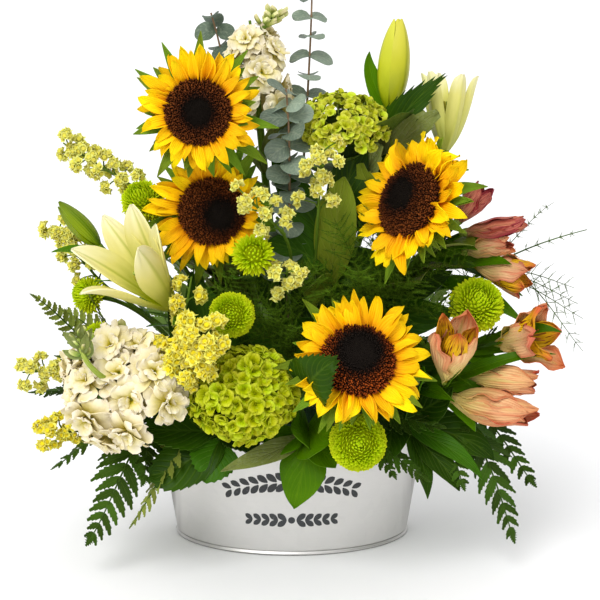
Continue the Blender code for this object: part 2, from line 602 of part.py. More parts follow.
def main() -> None:
    """Build the tub, plant every stem and bore the foam for them."""
    clear_scene()
    collection(COLLECTION_NAME)
    build_wall()
    build_base()
    build_liner()
    foam = build_foam()
    build_flowers()
    build_greens()
    card_pick()
    bore_foam(foam)


main()
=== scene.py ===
"""Sunflowers, lilies and greenery arranged in an oval galvanised tub.

Units are metres, +Z is up and -Y is the front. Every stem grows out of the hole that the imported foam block
keeps for it, so the planting positions are the model's own. Each plant is a class, each finish is a small
class, and every petal, leaf and leaflet is a thin closed sheet shaped from a grid.
"""

import logging
import math
import random
from collections.abc import Callable, Iterable
from dataclasses import dataclass, field
from enum import Enum
from typing import NamedTuple

import bmesh
import bpy
from mathutils import Matrix, Vector
from mathutils.kdtree import KDTree


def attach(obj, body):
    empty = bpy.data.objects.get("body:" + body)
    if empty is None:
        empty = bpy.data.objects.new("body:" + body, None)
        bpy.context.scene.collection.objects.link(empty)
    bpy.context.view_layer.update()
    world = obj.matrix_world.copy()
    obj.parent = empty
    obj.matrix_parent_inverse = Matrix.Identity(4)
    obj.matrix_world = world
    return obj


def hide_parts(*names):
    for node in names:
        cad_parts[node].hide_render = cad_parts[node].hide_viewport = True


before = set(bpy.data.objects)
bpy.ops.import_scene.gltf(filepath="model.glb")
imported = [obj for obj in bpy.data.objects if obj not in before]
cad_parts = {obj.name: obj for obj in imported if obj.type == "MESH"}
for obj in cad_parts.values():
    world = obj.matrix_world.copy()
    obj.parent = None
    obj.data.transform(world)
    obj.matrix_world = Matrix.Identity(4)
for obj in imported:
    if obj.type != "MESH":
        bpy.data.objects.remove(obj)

log = logging.getLogger("flower_tub")

BODY = "root"
UP = Vector((0, 0, 1))
FRONT = Vector((0, -1, 0))
RIGHT = Vector((1, 0, 0))
FULL_TURN = 2 * math.pi
GOLDEN_ANGLE = math.pi * (3 - math.sqrt(5))
RIGHT_ANGLE = math.pi / 2
GROWN_UP = Matrix.Rotation(RIGHT_ANGLE, 4, "X")  # turns a shape that grows along +Y to grow along +Z

# The tub, as packed.
OVAL_RATIO = 1.544
TUB_FLOOR_RADIUS = 0.0657
TUB_RIM_RADIUS = 0.0761
TUB_HEIGHT = 0.1054
SHEET_METAL = 0.001
GROOVE_HEIGHT = 0.0036
GROOVE_DEPTH = 0.0007
INK_LAYER = 0.00012
ARCH_HEIGHT = 0.068  # of the printed garland's arch
LINE_HEIGHT = 0.033  # of its straight pair

# How stems stand in the foam, as packed.
FOAM_TOP = 0.128
FOAM_SHOULDER = 0.1235
STEM_DEPTH = 0.042
SIDE_DEPTH = 0.018
KNEE_LENGTH = 0.01
LEAST_RISE = 0.04  # least height over which a planted stem rises to its head
STEM_STEPS = 14
RISE = 0.42  # share of a curve's span over which it keeps its first direction
NECK = 0.26  # share over which it takes its last one
STOUT = 0.0035  # radius of a stout stem

VEIN_PHASE = 3.14  # phase of the veins' ridges over half a petal's width

Colour = tuple[int, int, int]
Pair = tuple[float, float]
Triple = tuple[float, float, float]


# ---- shaders ----


def shade(colour: Colour) -> tuple[float, ...]:
    """A node's colour from the red, green and blue of a paint chart, each from 0 to 255."""
    parts = [part / 255 for part in colour]
    return (*(part / 12.92 if part < 0.04 else ((part + 0.055) / 1.055) ** 2.4 for part in parts), 1)


def operator(operation: str, swapped: bool = False) -> Callable[["Field", "Field | float"], "Field"]:
    """An operator method that adds one Math node.

    Args:
        operation: The node's operation.
        swapped: Whether the other value comes first.

    Returns:
        The method.
    """

    def method(self: "Field", other: "Field | float") -> "Field":
        """Add the node."""
        return self.board.maths(operation, *((other, self) if swapped else (self, other)))

    return method


class Field:
    """A number or colour that varies over a surface, which Python's operators work on."""

    __add__, __radd__ = operator("ADD"), operator("ADD", True)
    __sub__, __rsub__ = operator("SUBTRACT"), operator("SUBTRACT", True)
    __mul__, __rmul__ = operator("MULTIPLY"), operator("MULTIPLY", True)
    __truediv__, __pow__ = operator("DIVIDE"), operator("POWER")

    def __init__(self, board: "Board", socket: bpy.types.NodeSocket) -> None:
        """Wrap an output socket of a board's node tree."""
        self.board = board
        self.socket = socket

    def size(self) -> "Field":
        """The value without its sign."""
        return self.board.maths("ABSOLUTE", self)

    def wave(self) -> "Field":
        """The sine of the value, moved to run from 0 to 1."""
        return self.board.maths("SINE", self) * 0.5 + 0.5

    def clamp(self) -> "Field":
        """The value held between 0 and 1."""
        return self.board.field("ShaderNodeClamp", {}, {0: self})

    def between(self, low: float, high: float) -> "Field":
        """A smooth step from 0 at low to 1 at high."""
        return self.board.field("ShaderNodeMapRange", {"interpolation_type": "SMOOTHSTEP"}, {"Value": self,
            "From Min": low, "From Max": high})


class Board:
    """A node tree and the ways to put nodes on it."""

    def __init__(self, tree: bpy.types.NodeTree) -> None:
        """Start with the tree empty."""
        self.tree = tree
        tree.nodes.clear()

    def node(self, kind: str, settings: dict, sockets: dict) -> bpy.types.Node:
        """Put one node on the board.

        Args:
            kind: The node's type.
            settings: Its properties, set first; "stops" fills a colour ramp.
            sockets: A Field or a constant for each input, by name or number.

        Returns:
            The new node.
        """
        node = self.tree.nodes.new(kind)
        for key, setting in settings.items():
            if key == "stops":
                ramp = node.color_ramp
                for _ in setting[2:]:
                    ramp.elements.new(0.5)
                for element, (position, tint) in zip(ramp.elements, setting):
                    element.position = position
                    element.color = tint
            else:
                setattr(node, key, setting)
        for key, value in sockets.items():
            if isinstance(value, Field):
                self.tree.links.new(value.socket, node.inputs[key])
            else:
                node.inputs[key].default_value = value
        return node

    def field(self, kind: str, settings: dict, sockets: dict, output: int | str = 0) -> Field:
        """Put one node on the board and return one of its outputs."""
        return Field(self, self.node(kind, settings, sockets).outputs[output])

    def maths(self, operation: str, *values: Field | float) -> Field:
        """Put a Math node on the board."""
        return self.field("ShaderNodeMath", {"operation": operation}, dict(enumerate(values)))

    def stored(self, *names: str) -> list[Field]:
        """Numbers stored on the mesh."""
        return [self.field("ShaderNodeAttribute", {"attribute_name": name}, {}, "Fac") for name in names]

    def vector(self, *parts: Field | float) -> Field:
        """A vector from three numbers."""
        return self.field("ShaderNodeCombineXYZ", {}, dict(enumerate(parts)))

    def place(self) -> Field:
        """Where the surface is in the arrangement."""
        return self.field("ShaderNodeTexCoord", {}, {}, "Object")

    def noise(self, scale: float, detail: float = 2, at: Field | None = None) -> Field:
        """Soft random values from 0 to 1, at a vector or else at the surface's own place."""
        return self.field("ShaderNodeTexNoise", {}, {"Vector": at or self.place(), "Scale": scale,
            "Detail": detail})

    def ramp(self, factor: Field, stops: list[tuple[float, Colour]]) -> Field:
        """Colours laid along a number."""
        tints = [(position, shade(tint)) for position, tint in stops]
        return self.field("ShaderNodeValToRGB", {"stops": tints}, {0: factor})

    def mix(self, factor: Field | float, first: Field | Colour, second: Field | Colour) -> Field:
        """Two colours mixed by a factor."""
        first, second = (shade(tint) if isinstance(tint, tuple) else tint for tint in (first, second))
        return self.field("ShaderNodeMix", {"data_type": "RGBA"}, {0: factor, 6: first, 7: second}, 2)

    def vary(self, colour: Field, hue: Field | float, value: Field | float) -> Field:
        """A colour with its hue (0.5 keeps it) and value (1 keeps it) moved."""
        return self.field("ShaderNodeHueSaturation", {}, {"Hue": hue, "Value": value, "Color": colour})

    def bump(self, height: Field, distance: float, strength: float = 1) -> Field:
        """A surface raised by a height."""
        return self.field("ShaderNodeBump", {}, {"Height": height, "Distance": distance,
            "Strength": strength})

    def coat(self, **sockets: Field | float) -> None:
        """Close the tree with a Principled shader; underscores stand for spaces in its socket names."""
        named = {key.replace("_", " "): value for key, value in sockets.items()}
        shader = self.field("ShaderNodeBsdfPrincipled", {}, named)
        self.node("ShaderNodeOutputMaterial", {}, {"Surface": shader})


class Slot(Enum):
    """The names of the record's material slots."""

    ZINC = "galvanised"
    PLASTIC = "clear_plastic"
    SUN = "sun_gold"
    LILY = "lily_cream"
    BUD = "bud_green"
    STOCK = "stock_cream"
    HYDRANGEA = "hydrangea_green"
    POM = "pom_green"
    STATICE = "statice_yellow"
    SALMON = "salmon"
    SILVER = "silver_green"
    FERN = "fern_green"
    PLUME = "plume_green"
    LEAF = "leaf_green"


@dataclass(frozen=True)
class Finish:
    """A named material that is made once and then shared.

    Attributes:
        name: The material's name.
    """

    name: str

    def material(self) -> bpy.types.Material:
        """The material, made on first use."""
        material = bpy.data.materials.get(self.name)
        if not material:
            material = bpy.data.materials.new(self.name)
            material.use_nodes = True
            self.paint(Board(material.node_tree))
        return material

    def paint(self, board: Board) -> None:
        """Build the material's nodes; each finish has its own way."""
        raise NotImplementedError


@dataclass(frozen=True)
class PetalFinish(Finish):
    """A petal: three colours from foot to tip, fine lengthwise veins, and a tinted midrib and back.

    Attributes:
        foot: Colour where the petal is fixed.
        body: Colour of most of the petal.
        tip: Colour at its end.
        turn: Share of the length where the foot's colour has given way to the body's.
        hold: Share of the length that keeps the foot's colour.
        rib: Colour of the midrib.
        rib_width: Half-width of the midrib, as a share of the petal's.
        rib_reach: Share of the length that the midrib's colour reaches.
        back: Colour that the underside leans to.
        back_share: How far it leans.
        veins: Number of veins across.
        depth: Height of the veins in metres.
        spread: How much the petals differ from each other.
        rough: Roughness of the skin.
        edge: Colour of the flush along its edges and streaks.
        edge_share: How strong the flush is.
        shine: Strength of the surface reflection; 0.5 is that of wax.
    """

    foot: Colour
    body: Colour
    tip: Colour
    turn: float = 0.35
    hold: float = 0
    rib: Colour = (255, 255, 255)
    rib_width: float = 0.12
    rib_reach: float = 0
    back: Colour = (255, 255, 255)
    back_share: float = 0
    veins: float = 14
    depth: float = 0.00025
    spread: float = 0.12
    rough: float = 0.55
    edge: Colour = (255, 255, 255)
    edge_share: float = 0
    shine: float = 0.12

    def paint(self, board: Board) -> None:
        """Lay the colours along the petal, then the veins."""
        along, across, tone = board.stored("along", "across", "tone")
        streak = board.noise(1, 3, board.vector(across * self.veins * 0.5, along * 2.5, tone * 71))
        stops = [(self.hold, self.foot), (self.turn, self.body), (1, self.tip)]
        skin = board.ramp(along + (streak - 0.5) * 0.35, stops)
        if self.rib_reach > 0:
            line = (1 - across.size() / self.rib_width).clamp()
            skin = board.mix(line * (1 - along / self.rib_reach).clamp() ** 0.5, skin, self.rib)
        if self.back_share > 0:
            skin = board.mix(board.stored("under")[0] * self.back_share, skin, self.back)
        if self.edge_share > 0:
            rim = across.size().between(0.62, 1) + streak.between(0.5, 0.66) * 0.8
            skin = board.mix((rim * self.edge_share * along.between(0.05, 0.55)).clamp(), skin, self.edge)
        lift = (tone - 0.5) * self.spread + (streak - 0.5) * 0.16
        skin = board.vary(skin, 0.5 + (tone - 0.5) * self.spread * 0.12, 1 + lift)
        ridge = (across * (self.veins * VEIN_PHASE) + streak * 3).wave()
        board.coat(Base_Color=skin, Roughness=self.rough + (streak - 0.5) * 0.12,
            Specular_IOR_Level=self.shine, Normal=board.bump(ridge * 0.6 + streak, self.depth))


@dataclass(frozen=True)
class FleckedFinish(PetalFinish):
    """A petal with short dark dashes over a bright throat, as on a Peruvian lily's inner tepals.

    Attributes:
        dash: Colour of the dashes.
    """

    dash: Colour = (110, 24, 16)

    def paint(self, board: Board) -> None:
        """Lay dashes over the petal's colours."""
        along, across, tone = board.stored("along", "across", "tone")
        streak = board.noise(1, 3, board.vector(across * 5, along * 2.5, tone * 71))
        stops = [(0, self.foot), (self.turn, self.body), (0.72, self.body), (1, self.tip)]
        skin = board.ramp(along + (streak - 0.5) * 0.3, stops)
        dots = board.noise(1, 1, board.vector(across * 9, along * 6, tone * 13))
        zone = along.between(0.25, 0.45) * (1 - along.between(0.7, 0.92))
        skin = board.mix(dots.between(0.56, 0.62) * zone, skin, self.dash)
        board.coat(Base_Color=skin, Roughness=self.rough, Specular_IOR_Level=self.shine,
            Normal=board.bump((across * (self.veins * VEIN_PHASE)).wave(), self.depth))


@dataclass(frozen=True)
class LeafFinish(Finish):
    """A leaf: two greens in soft patches, paler veins that branch from the midrib, and a pale back.

    Attributes:
        light: The lighter green.
        dark: The darker green.
        vein: Colour of the midrib and veins.
        back: Colour of the underside.
        veins: Number of side veins; 0 leaves only the midrib.
        slant: How far the side veins lean to the tip.
        depth: Height of the relief in metres.
        rough: Roughness of the blade.
        down: How much fine pale hair covers it.
        show: How strongly the veins' colour shows.
        shine: Strength of the surface reflection; 0.5 is that of wax.
    """

    light: Colour
    dark: Colour
    vein: Colour
    back: Colour
    veins: float = 8
    slant: float = 0.4
    depth: float = 0.0006
    rough: float = 0.5
    down: float = 0
    show: float = 0.3
    shine: float = 0.06

    def paint(self, board: Board) -> None:
        """Mix the greens, then draw the veins over them and into the relief."""
        along, across, tone = board.stored("along", "across", "tone")
        patch = board.noise(26, 3)
        fine = board.noise(420, 3)
        skin = board.mix((patch + (tone - 0.5) * 0.7).clamp(), self.dark, self.light)
        lines = (1 - across.size() / 0.09).clamp()
        if self.veins > 0:
            phase = (along - across.size() * self.slant) * (self.veins * FULL_TURN)
            lines = lines + phase.wave() ** 9 * (1 - across.size() * 0.6)
        lines = lines.clamp()
        skin = board.mix(lines * self.show, skin, self.vein)
        skin = board.mix(board.stored("under")[0] * 0.8, skin, self.back)
        if self.down > 0:
            skin = board.mix(fine.between(0.45, 0.8) * self.down, skin, (190, 200, 170))
        skin = board.vary(skin, 0.5 + (tone - 0.5) * 0.02, 0.9 + patch * 0.2 + (tone - 0.5) * 0.25)
        board.coat(Base_Color=skin, Roughness=self.rough + (fine - 0.5) * 0.2, Specular_IOR_Level=self.shine,
            Normal=board.bump(fine * 0.25 + patch * 0.3 - lines * 0.6, self.depth))


@dataclass(frozen=True)
class StemFinish(Finish):
    """A round green stem, streaked lengthwise with a flush of a second colour.

    Attributes:
        green: Colour of most of the stem.
        flush: Colour of the streaks.
        rough: Roughness of the skin.
    """

    green: Colour
    flush: Colour
    rough: float = 0.5

    def paint(self, board: Board) -> None:
        """Stretch the noise along the stem."""
        along, across, tone = board.stored("along", "across", "tone")
        streak = board.noise(1, 4, board.vector(across * 4, along * 3, tone * 31))
        fine = board.noise(600)
        skin = board.mix(streak.between(0.35, 0.7), self.green, self.flush)
        board.coat(Base_Color=board.vary(skin, 0.5, 0.85 + fine * 0.3), Roughness=self.rough + (fine - 0.5)
            * 0.2, Specular_IOR_Level=0.15, Normal=board.bump(streak + fine * 0.4, 0.0004))


@dataclass(frozen=True)
class DiscFinish(Finish):
    """A sunflower's disc: florets almost black in the middle, rusty towards the rim.

    Attributes:
        heart: Colour of the dark middle.
        ring: Colour round it.
        rim: Colour of the outermost florets.
        pollen: Colour of the open florets' tips.
        reach: Share of the radius that the dark middle takes.
    """

    heart: Colour
    ring: Colour
    rim: Colour
    pollen: Colour
    reach: float

    def paint(self, board: Board) -> None:
        """Colour each floret by its place on the disc and its own height."""
        along, tone, level = board.stored("along", "tone", "level")
        cloud = board.noise(90)
        stops = [(0, self.heart), (self.reach, self.heart), (self.reach + 0.22, self.ring), (0.86, self.ring),
            (1, self.rim)]
        skin = board.ramp(level + (tone - 0.5) * 0.14 + (cloud - 0.5) * 0.16, stops)
        dusted = (along - 0.55).clamp() * 2.2 * level.between(self.reach, 0.9) * (tone * 0.8 + 0.2)
        skin = board.vary(board.mix(dusted.clamp(), skin, self.pollen), 0.5, 0.75 + tone * 0.5)
        board.coat(Base_Color=skin, Roughness=0.7 + (cloud - 0.5) * 0.2, Specular_IOR_Level=0.03,
            Normal=board.bump(board.noise(1500), 0.0003))


@dataclass(frozen=True)
class ZincFinish(Finish):
    """Satin galvanised sheet: soft cloudy spangle, fine drawing lines and a few scuffs.

    Attributes:
        light: The brighter grey.
        dark: The duller grey.
        line: Colour of the painted shadow at the foot and groove and the painted reflections at the ends.
    """

    light: Colour
    dark: Colour
    line: Colour

    def paint(self, board: Board) -> None:
        """Layer spangle, drawing lines and scuffs, then painted shadow at foot and groove and painted end
        reflections.
        """
        place = board.place()
        spangle = board.field("ShaderNodeTexVoronoi", {"feature": "F1"}, {"Vector": place, "Scale": 120},
            "Color")
        grey = board.field("ShaderNodeRGBToBW", {}, {0: spangle})
        cloud = board.noise(18, 4)
        split = board.node("ShaderNodeSeparateXYZ", {}, {0: place})
        height, side = Field(board, split.outputs[2]), Field(board, split.outputs[0])
        lines = board.noise(1, 3, board.vector(side * 12, side * 3, height * 1400))
        scuff = board.noise(70, 5).between(0.62, 0.74)
        share = (grey * 0.15 + cloud * 0.6 + lines * 0.25).clamp()
        skin = board.mix(scuff * 0.2, board.mix(share, self.dark, self.light), self.dark)
        # Painted dark reflections: streaks of the line colour near both ends of the oval.
        reflection_bands = board.noise(1, 2, board.vector(side * 130, side * 7, height * 9))
        ends = side.size().between(0.094, 0.108) * (reflection_bands.between(0.42, 0.6) * 0.6 + 0.34)
        skin = board.mix(ends, skin, self.line)
        # Painted shadow: the line colour fills the groove and darkens the foot of the wall.
        groove = (1 - (height - GROOVE_HEIGHT).size() / GROOVE_DEPTH).clamp() * 0.6
        skin = board.mix(((1 - height / 0.0014).clamp() * 1.4 + groove).clamp(), skin, self.line)
        board.coat(Base_Color=skin, Metallic=0.92 - scuff * 0.1, Roughness=0.34 + cloud * 0.1 + lines * 0.08
            + scuff * 0.1, Normal=board.bump(lines * 0.4 + cloud, 0.0004, 0.35))


@dataclass(frozen=True)
class PrintFinish(Finish):
    """Printed ink on the metal: matt, a little worn and thin in places.

    Attributes:
        ink: Colour of the ink.
        worn: Its colour where it has worn thin.
    """

    ink: Colour
    worn: Colour

    def paint(self, board: Board) -> None:
        """Wear the ink with fine noise."""
        wear = board.noise(900, 4).between(0.6, 0.78)
        board.coat(Base_Color=board.mix(wear * 0.6, self.ink, self.worn), Roughness=0.55 + wear * 0.2,
            Normal=board.bump(board.noise(2500), 0.00008))


@dataclass(frozen=True)
class FoamFinish(Finish):
    """Soaked floral foam: dark green, finely cellular and crumbly.

    Attributes:
        green: Colour of the cells' walls.
        dark: Colour where the relief sinks, painted shade inside the cells.
    """

    green: Colour
    dark: Colour

    def paint(self, board: Board) -> None:
        """Cells of two sizes, with painted shade where the relief sinks."""
        cells, clods = board.noise(900, 3), board.noise(120, 4)
        # Painted shade: darker where the noise, and with it the relief, is low.
        skin = board.mix((cells * 0.6 + clods * 0.5 - 0.1).clamp(), self.dark, self.green)
        board.coat(Base_Color=skin, Roughness=0.85 + cells * 0.1, Normal=board.bump(cells + clods * 2,
            0.0012))


@dataclass(frozen=True)
class PlasticFinish(Finish):
    """Clear moulded plastic with faint flow marks.

    Attributes:
        tint: Colour of the plastic.
    """

    tint: Colour

    def paint(self, board: Board) -> None:
        """A see-through skin with a slight haze."""
        flow = board.noise(60, 3)
        haze = board.mix(flow * 0.3, self.tint, (255, 255, 255))
        board.coat(Base_Color=haze, Roughness=0.08 + flow * 0.12, Transmission_Weight=0.85, IOR=1.46,
            Normal=board.bump(flow, 0.0004))


@dataclass(frozen=True)
class FloorFinish(Finish):
    """A plain near-white studio floor with the faintest mottling.

    Attributes:
        tint: Colour of the floor.
    """

    tint: Colour

    def paint(self, board: Board) -> None:
        """Near-even paint."""
        mottle = board.noise(1.5)
        skin = board.vary(board.mix(mottle, self.tint, self.tint), 0.5, 0.995 + mottle * 0.01)
        board.coat(Base_Color=skin, Roughness=0.6)


# ---- shapes ----


class Outline(Enum):
    """How half the width of a petal or leaf runs from its foot (0) to its tip (1)."""

    RAY = ((0, 0.55), (0.2, 0.86), (0.45, 1), (0.7, 0.8), (0.88, 0.42), (1, 0.03))
    LANCE = ((0, 0.1), (0.15, 0.6), (0.38, 1), (0.65, 0.76), (0.86, 0.34), (1, 0.02))
    FINGER = ((0, 0.62), (0.3, 0.9), (0.6, 1), (0.84, 0.84), (0.95, 0.55), (1, 0.12))
    TEPAL = ((0, 0.32), (0.28, 0.66), (0.58, 1), (0.8, 0.82), (0.93, 0.45), (1, 0.08))
    ROUND = ((0, 0.22), (0.12, 0.64), (0.34, 0.97), (0.52, 1), (0.72, 0.9), (0.9, 0.58), (1, 0.1))
    STRAP = ((0, 0.55), (0.3, 0.9), (0.6, 1), (0.85, 0.82), (1, 0.18))
    HEART = ((0, 0.3), (0.08, 0.84), (0.22, 1), (0.5, 0.8), (0.8, 0.38), (1, 0.02))
    FRILL = ((0, 0.2), (0.25, 0.5), (0.5, 0.86), (0.74, 1), (0.9, 0.86), (1, 0.42))
    LEAFLET = ((0, 0.45), (0.12, 0.92), (0.35, 1), (0.6, 0.8), (0.82, 0.46), (1, 0.04))
    OVAL = ((0, 0.16), (0.2, 0.72), (0.45, 1), (0.7, 0.88), (0.9, 0.48), (1, 0.05))
    STALKED = ((0, 0.06), (0.1, 0.06), (0.2, 0.42), (0.42, 1), (0.68, 0.86), (0.88, 0.4), (1, 0.02))

    def at(self, share: float) -> float:
        """Half-width at a share of the length, with the stops joined by smooth curves."""
        stops = self.value
        index = max(i for i, stop in enumerate(stops[:-1]) if stop[0] <= share + 1e-9)
        (x0, y0), (x1, y1) = stops[index], stops[index + 1]
        before = stops[max(index - 1, 0)]
        after = stops[min(index + 2, len(stops) - 1)]
        slope0 = (y1 - before[1]) / (x1 - before[0])
        slope1 = (after[1] - y0) / (after[0] - x0)
        span = x1 - x0
        t = (share - x0) / span
        value = (y0 * (2 * t ** 3 - 3 * t ** 2 + 1) + slope0 * span * (t ** 3 - 2 * t ** 2 + t) + y1
            * (3 * t ** 2 - 2 * t ** 3) + slope1 * span * (t ** 3 - t ** 2))
        return max(value, 0)


def evenly(steps: int, begin: float = 0, end: float = 1) -> list[float]:
    """Numbers from begin to end in even steps."""
    return [begin + (end - begin) * step / steps for step in range(steps + 1)]


class Spot(NamedTuple):
    """A point on a curve with the directions that go with it.

    Attributes:
        point: Where it is.
        slope: The way that the curve runs there.
        side: The way across.
        normal: The way up from the curve.
    """

    point: Vector
    slope: Vector
    side: Vector
    normal: Vector


@dataclass(frozen=True)
class Curve:
    """A cubic curve through space.

    Attributes:
        start: Where it begins.
        first: The point that it sets out towards.
        second: The point that it arrives from.
        end: Where it ends.
    """

    start: Vector
    first: Vector
    second: Vector
    end: Vector

    @classmethod
    def between(cls, start: Vector, way: Vector, end: Vector, end_way: Vector, rise: float = RISE,
            neck: float = NECK) -> "Curve":
        """A curve that leaves start along way and arrives at end along end_way."""
        span = (end - start).length
        return cls(start, start + way.normalized() * (span * rise), end - end_way.normalized()
            * (span * neck), end)

    def at(self, share: float) -> tuple[Vector, Vector]:
        """Point and direction at a share of the curve."""
        rest = 1 - share
        point = (self.start * rest ** 3 + self.first * (3 * rest ** 2 * share) + self.second
            * (3 * rest * share ** 2) + self.end * share ** 3)
        slope = ((self.first - self.start) * rest ** 2 + (self.second - self.first) * (2 * rest * share)
            + (self.end - self.second) * share ** 2)
        return point, slope.normalized()

    def spots(self, shares: list[float], upper: Vector, twist: float = 0) -> list[Spot]:
        """Points with a frame carried along the curve without rolling.

        Args:
            shares: Where along the curve the points lie.
            upper: The direction that the first normal keeps closest to.
            twist: How far the frame has rolled by the curve's end, in radians.

        Returns:
            One spot for each share.
        """
        found = []
        normal = Vector(upper)
        for share in shares:
            point, slope = self.at(share)
            side = slope.cross(normal)
            if side.length < 1e-5:
                side = slope.orthogonal()
            side.normalize()
            normal = side.cross(slope)
            turned = Matrix.Rotation(twist * share, 3, slope)
            found.append(Spot(point, slope, turned @ side, turned @ normal))
        return found


LAYERS = ("along", "across", "tone", "level", "under")  # numbers on each vertex that finishes read
CREASE = math.radians(52)  # edges sharper than this stay sharp


def new_shape() -> bmesh.types.BMesh:
    """An empty mesh with the number layers that the finishes read."""
    shape = bmesh.new()
    for layer in LAYERS:
        shape.verts.layers.float.new(layer)
    return shape


def settle(shape: bmesh.types.BMesh) -> bpy.types.Mesh:
    """Turn a finished shape into mesh data and free it."""
    mesh = bpy.data.meshes.new("shape")
    shape.to_mesh(mesh)
    shape.free()
    return mesh


@dataclass(frozen=True)
class Blade:
    """A petal, leaf or leaflet: a grid drawn along a curve and given a thickness.

    Attributes:
        spine: The curve that its midrib follows.
        half: Half its greatest width.
        outline: The shape of its edge.
        upper: The direction that its upper side looks to at the foot.
        columns: Grid steps across.
        rows: Grid steps along.
        thick: Thickness.
        cup: How far the edges rise, as a share of the half-width.
        fold: How far the two halves fold up along the midrib.
        twist: How far it turns from foot to tip, in radians.
        ripple: Height of the waves along the side edges, as a share of the half-width.
        ruffle: Height of the waves round the end, as a share of the half-width.
        waves: Number of waves.
        phase: Where the waves begin.
        teeth: Depth of the teeth on the edge, as a share of the half-width.
        notch: Depth of the notch in the tip, as a share of the half-width.
        crowd: Above 1 puts more rows near the tip, for a round end.
        begin: Share of the spine where it starts.
    """

    spine: Curve
    half: float
    outline: Outline
    upper: Vector = field(default_factory=lambda: UP)
    columns: int = 4
    rows: int = 8
    thick: float = 0.0004
    cup: float = 0
    fold: float = 0
    twist: float = 0
    ripple: float = 0
    ruffle: float = 0
    waves: float = 3
    phase: float = 0
    teeth: float = 0
    notch: float = 0
    crowd: float = 1
    begin: float = 0

    def mesh(self) -> bpy.types.Mesh:
        """Shape the grid, close the tip and give the sheet its thickness."""
        shape = new_shape()
        bmesh.ops.create_grid(shape, x_segments=self.columns, y_segments=self.rows, size=0.5)
        along, across, _, _, under = (shape.verts.layers.float[name] for name in LAYERS)
        shares = [1 - (1 - row / self.rows) ** self.crowd for row in range(self.rows + 1)]
        spots = self.spine.spots([self.begin + (1 - self.begin) * share for share in shares], self.upper,
            self.twist)
        tooth = (self.spine.end - self.spine.start).length / self.rows * 0.8
        for vertex in shape.verts:
            out = vertex.co.x * 2
            row = round((vertex.co.y + 0.5) * self.rows)
            share = shares[row]
            spot = spots[row]
            half = self.half * self.outline.at(share)
            on_edge = abs(out) > 0.99
            slip = 0
            if self.teeth > 0 and on_edge and 0 < row < self.rows:
                if row % 2:
                    slip = tooth
                else:
                    half *= 1 - self.teeth
            if self.notch > 0:
                slip -= self.notch * self.half * (1 - abs(out)) * share ** 8
            lift = self.cup * out ** 2 * half + self.fold * abs(out) * half
            lift += self.ripple * self.half * out ** 2 * math.sin(self.waves * FULL_TURN * share + self.phase
                + out)
            lift += self.ruffle * self.half * share ** 2 * math.sin(self.waves * math.pi * out + self.phase)
            vertex.co = spot.point + spot.side * (out * half) + spot.normal * lift + spot.slope * slip
            vertex[along] = share
            vertex[across] = out
        bmesh.ops.remove_doubles(shape, verts=shape.verts[:], dist=self.thick * 0.2)
        top = set(shape.verts)
        near = KDTree(len(top))
        for index, vertex in enumerate(shape.verts):
            near.insert(vertex.co, index)
        near.balance()
        bmesh.ops.solidify(shape, geom=shape.faces[:], thickness=self.thick)
        for vertex in shape.verts:
            if vertex not in top:
                vertex[under] = 1
                twin, _, distance = near.find(vertex.co)
                if distance > self.thick * 2:
                    vertex.co = twin + (vertex.co - twin) * (self.thick / distance)
        return settle(shape)


def tube(spots: list[Spot], radii: list[float], sides: int = 8) -> bpy.types.Mesh:
    """A closed round tube of any radii along a curve, from a grid rolled up.

    Args:
        spots: The middle of each ring.
        radii: The radius of each ring.
        sides: Number of faces round the tube.

    Returns:
        The mesh, with along running from 0 to 1 and across round the tube.
    """
    shape = new_shape()
    bmesh.ops.create_grid(shape, x_segments=sides, y_segments=len(spots) - 1, size=0.5)
    along, across = (shape.verts.layers.float[name] for name in LAYERS[:2])
    for vertex in shape.verts:
        turn = (vertex.co.x + 0.5) * FULL_TURN
        share = vertex.co.y + 0.5
        row = round(share * (len(spots) - 1))
        spot = spots[row]
        vertex[along] = share
        vertex[across] = math.sin(turn)
        out = spot.side * math.cos(turn) - spot.normal * math.sin(turn)
        vertex.co = spot.point + out * radii[row]
    bmesh.ops.remove_doubles(shape, verts=shape.verts[:], dist=0.00001)
    open_edges = [edge for edge in shape.edges if edge.is_boundary]
    if open_edges:
        bmesh.ops.holes_fill(shape, edges=open_edges, sides=sides)
    bmesh.ops.recalc_face_normals(shape, faces=shape.faces[:])
    return settle(shape)


def twig(curve: Curve, first: float, last: float, steps: int = 6, sides: int = 6) -> bpy.types.Mesh:
    """A thin branch along a curve that tapers from one radius to another."""
    spots = curve.spots(evenly(steps), Vector((0.31, 0.22, 0.93)))
    return tube(spots, evenly(steps, first, last), sides)


def local(*points: Pair) -> Curve:
    """A curve for a template that grows along +Y with its upper side to +Z, from four (y, z) points."""
    return Curve(*(Vector((0, *point)) for point in points))


def aim(point: Vector, facing: Vector, roll: float = 0) -> Matrix:
    """A place whose Z looks along facing and whose Y keeps as near to upright as it can."""
    z = Vector(facing).normalized()
    x = UP.cross(z)
    if x.length < 1e-4:
        x = RIGHT.copy()
    x.normalize()
    place = Matrix((x, z.cross(x), z)).transposed().to_4x4()
    place.translation = point
    return place @ Matrix.Rotation(roll, 4, "Z")


def ball(subdivisions: int, radius: float) -> bpy.types.Mesh:
    """A ball of near-even triangles."""
    shape = new_shape()
    bmesh.ops.create_icosphere(shape, subdivisions=subdivisions, radius=radius)
    return settle(shape)


def spike(first: float, last: float, height: float, sides: int) -> bpy.types.Mesh:
    """A straight peg up +Z that tapers from one radius to another."""
    shape = new_shape()
    bmesh.ops.create_cone(shape, cap_ends=True, segments=sides, radius1=first, radius2=last, depth=height)
    bmesh.ops.translate(shape, verts=shape.verts[:], vec=(0, 0, height * 0.5))
    along = shape.verts.layers.float["along"]
    for vertex in shape.verts:
        vertex[along] = min(max(vertex.co.z / height, 0), 1)
    return settle(shape)


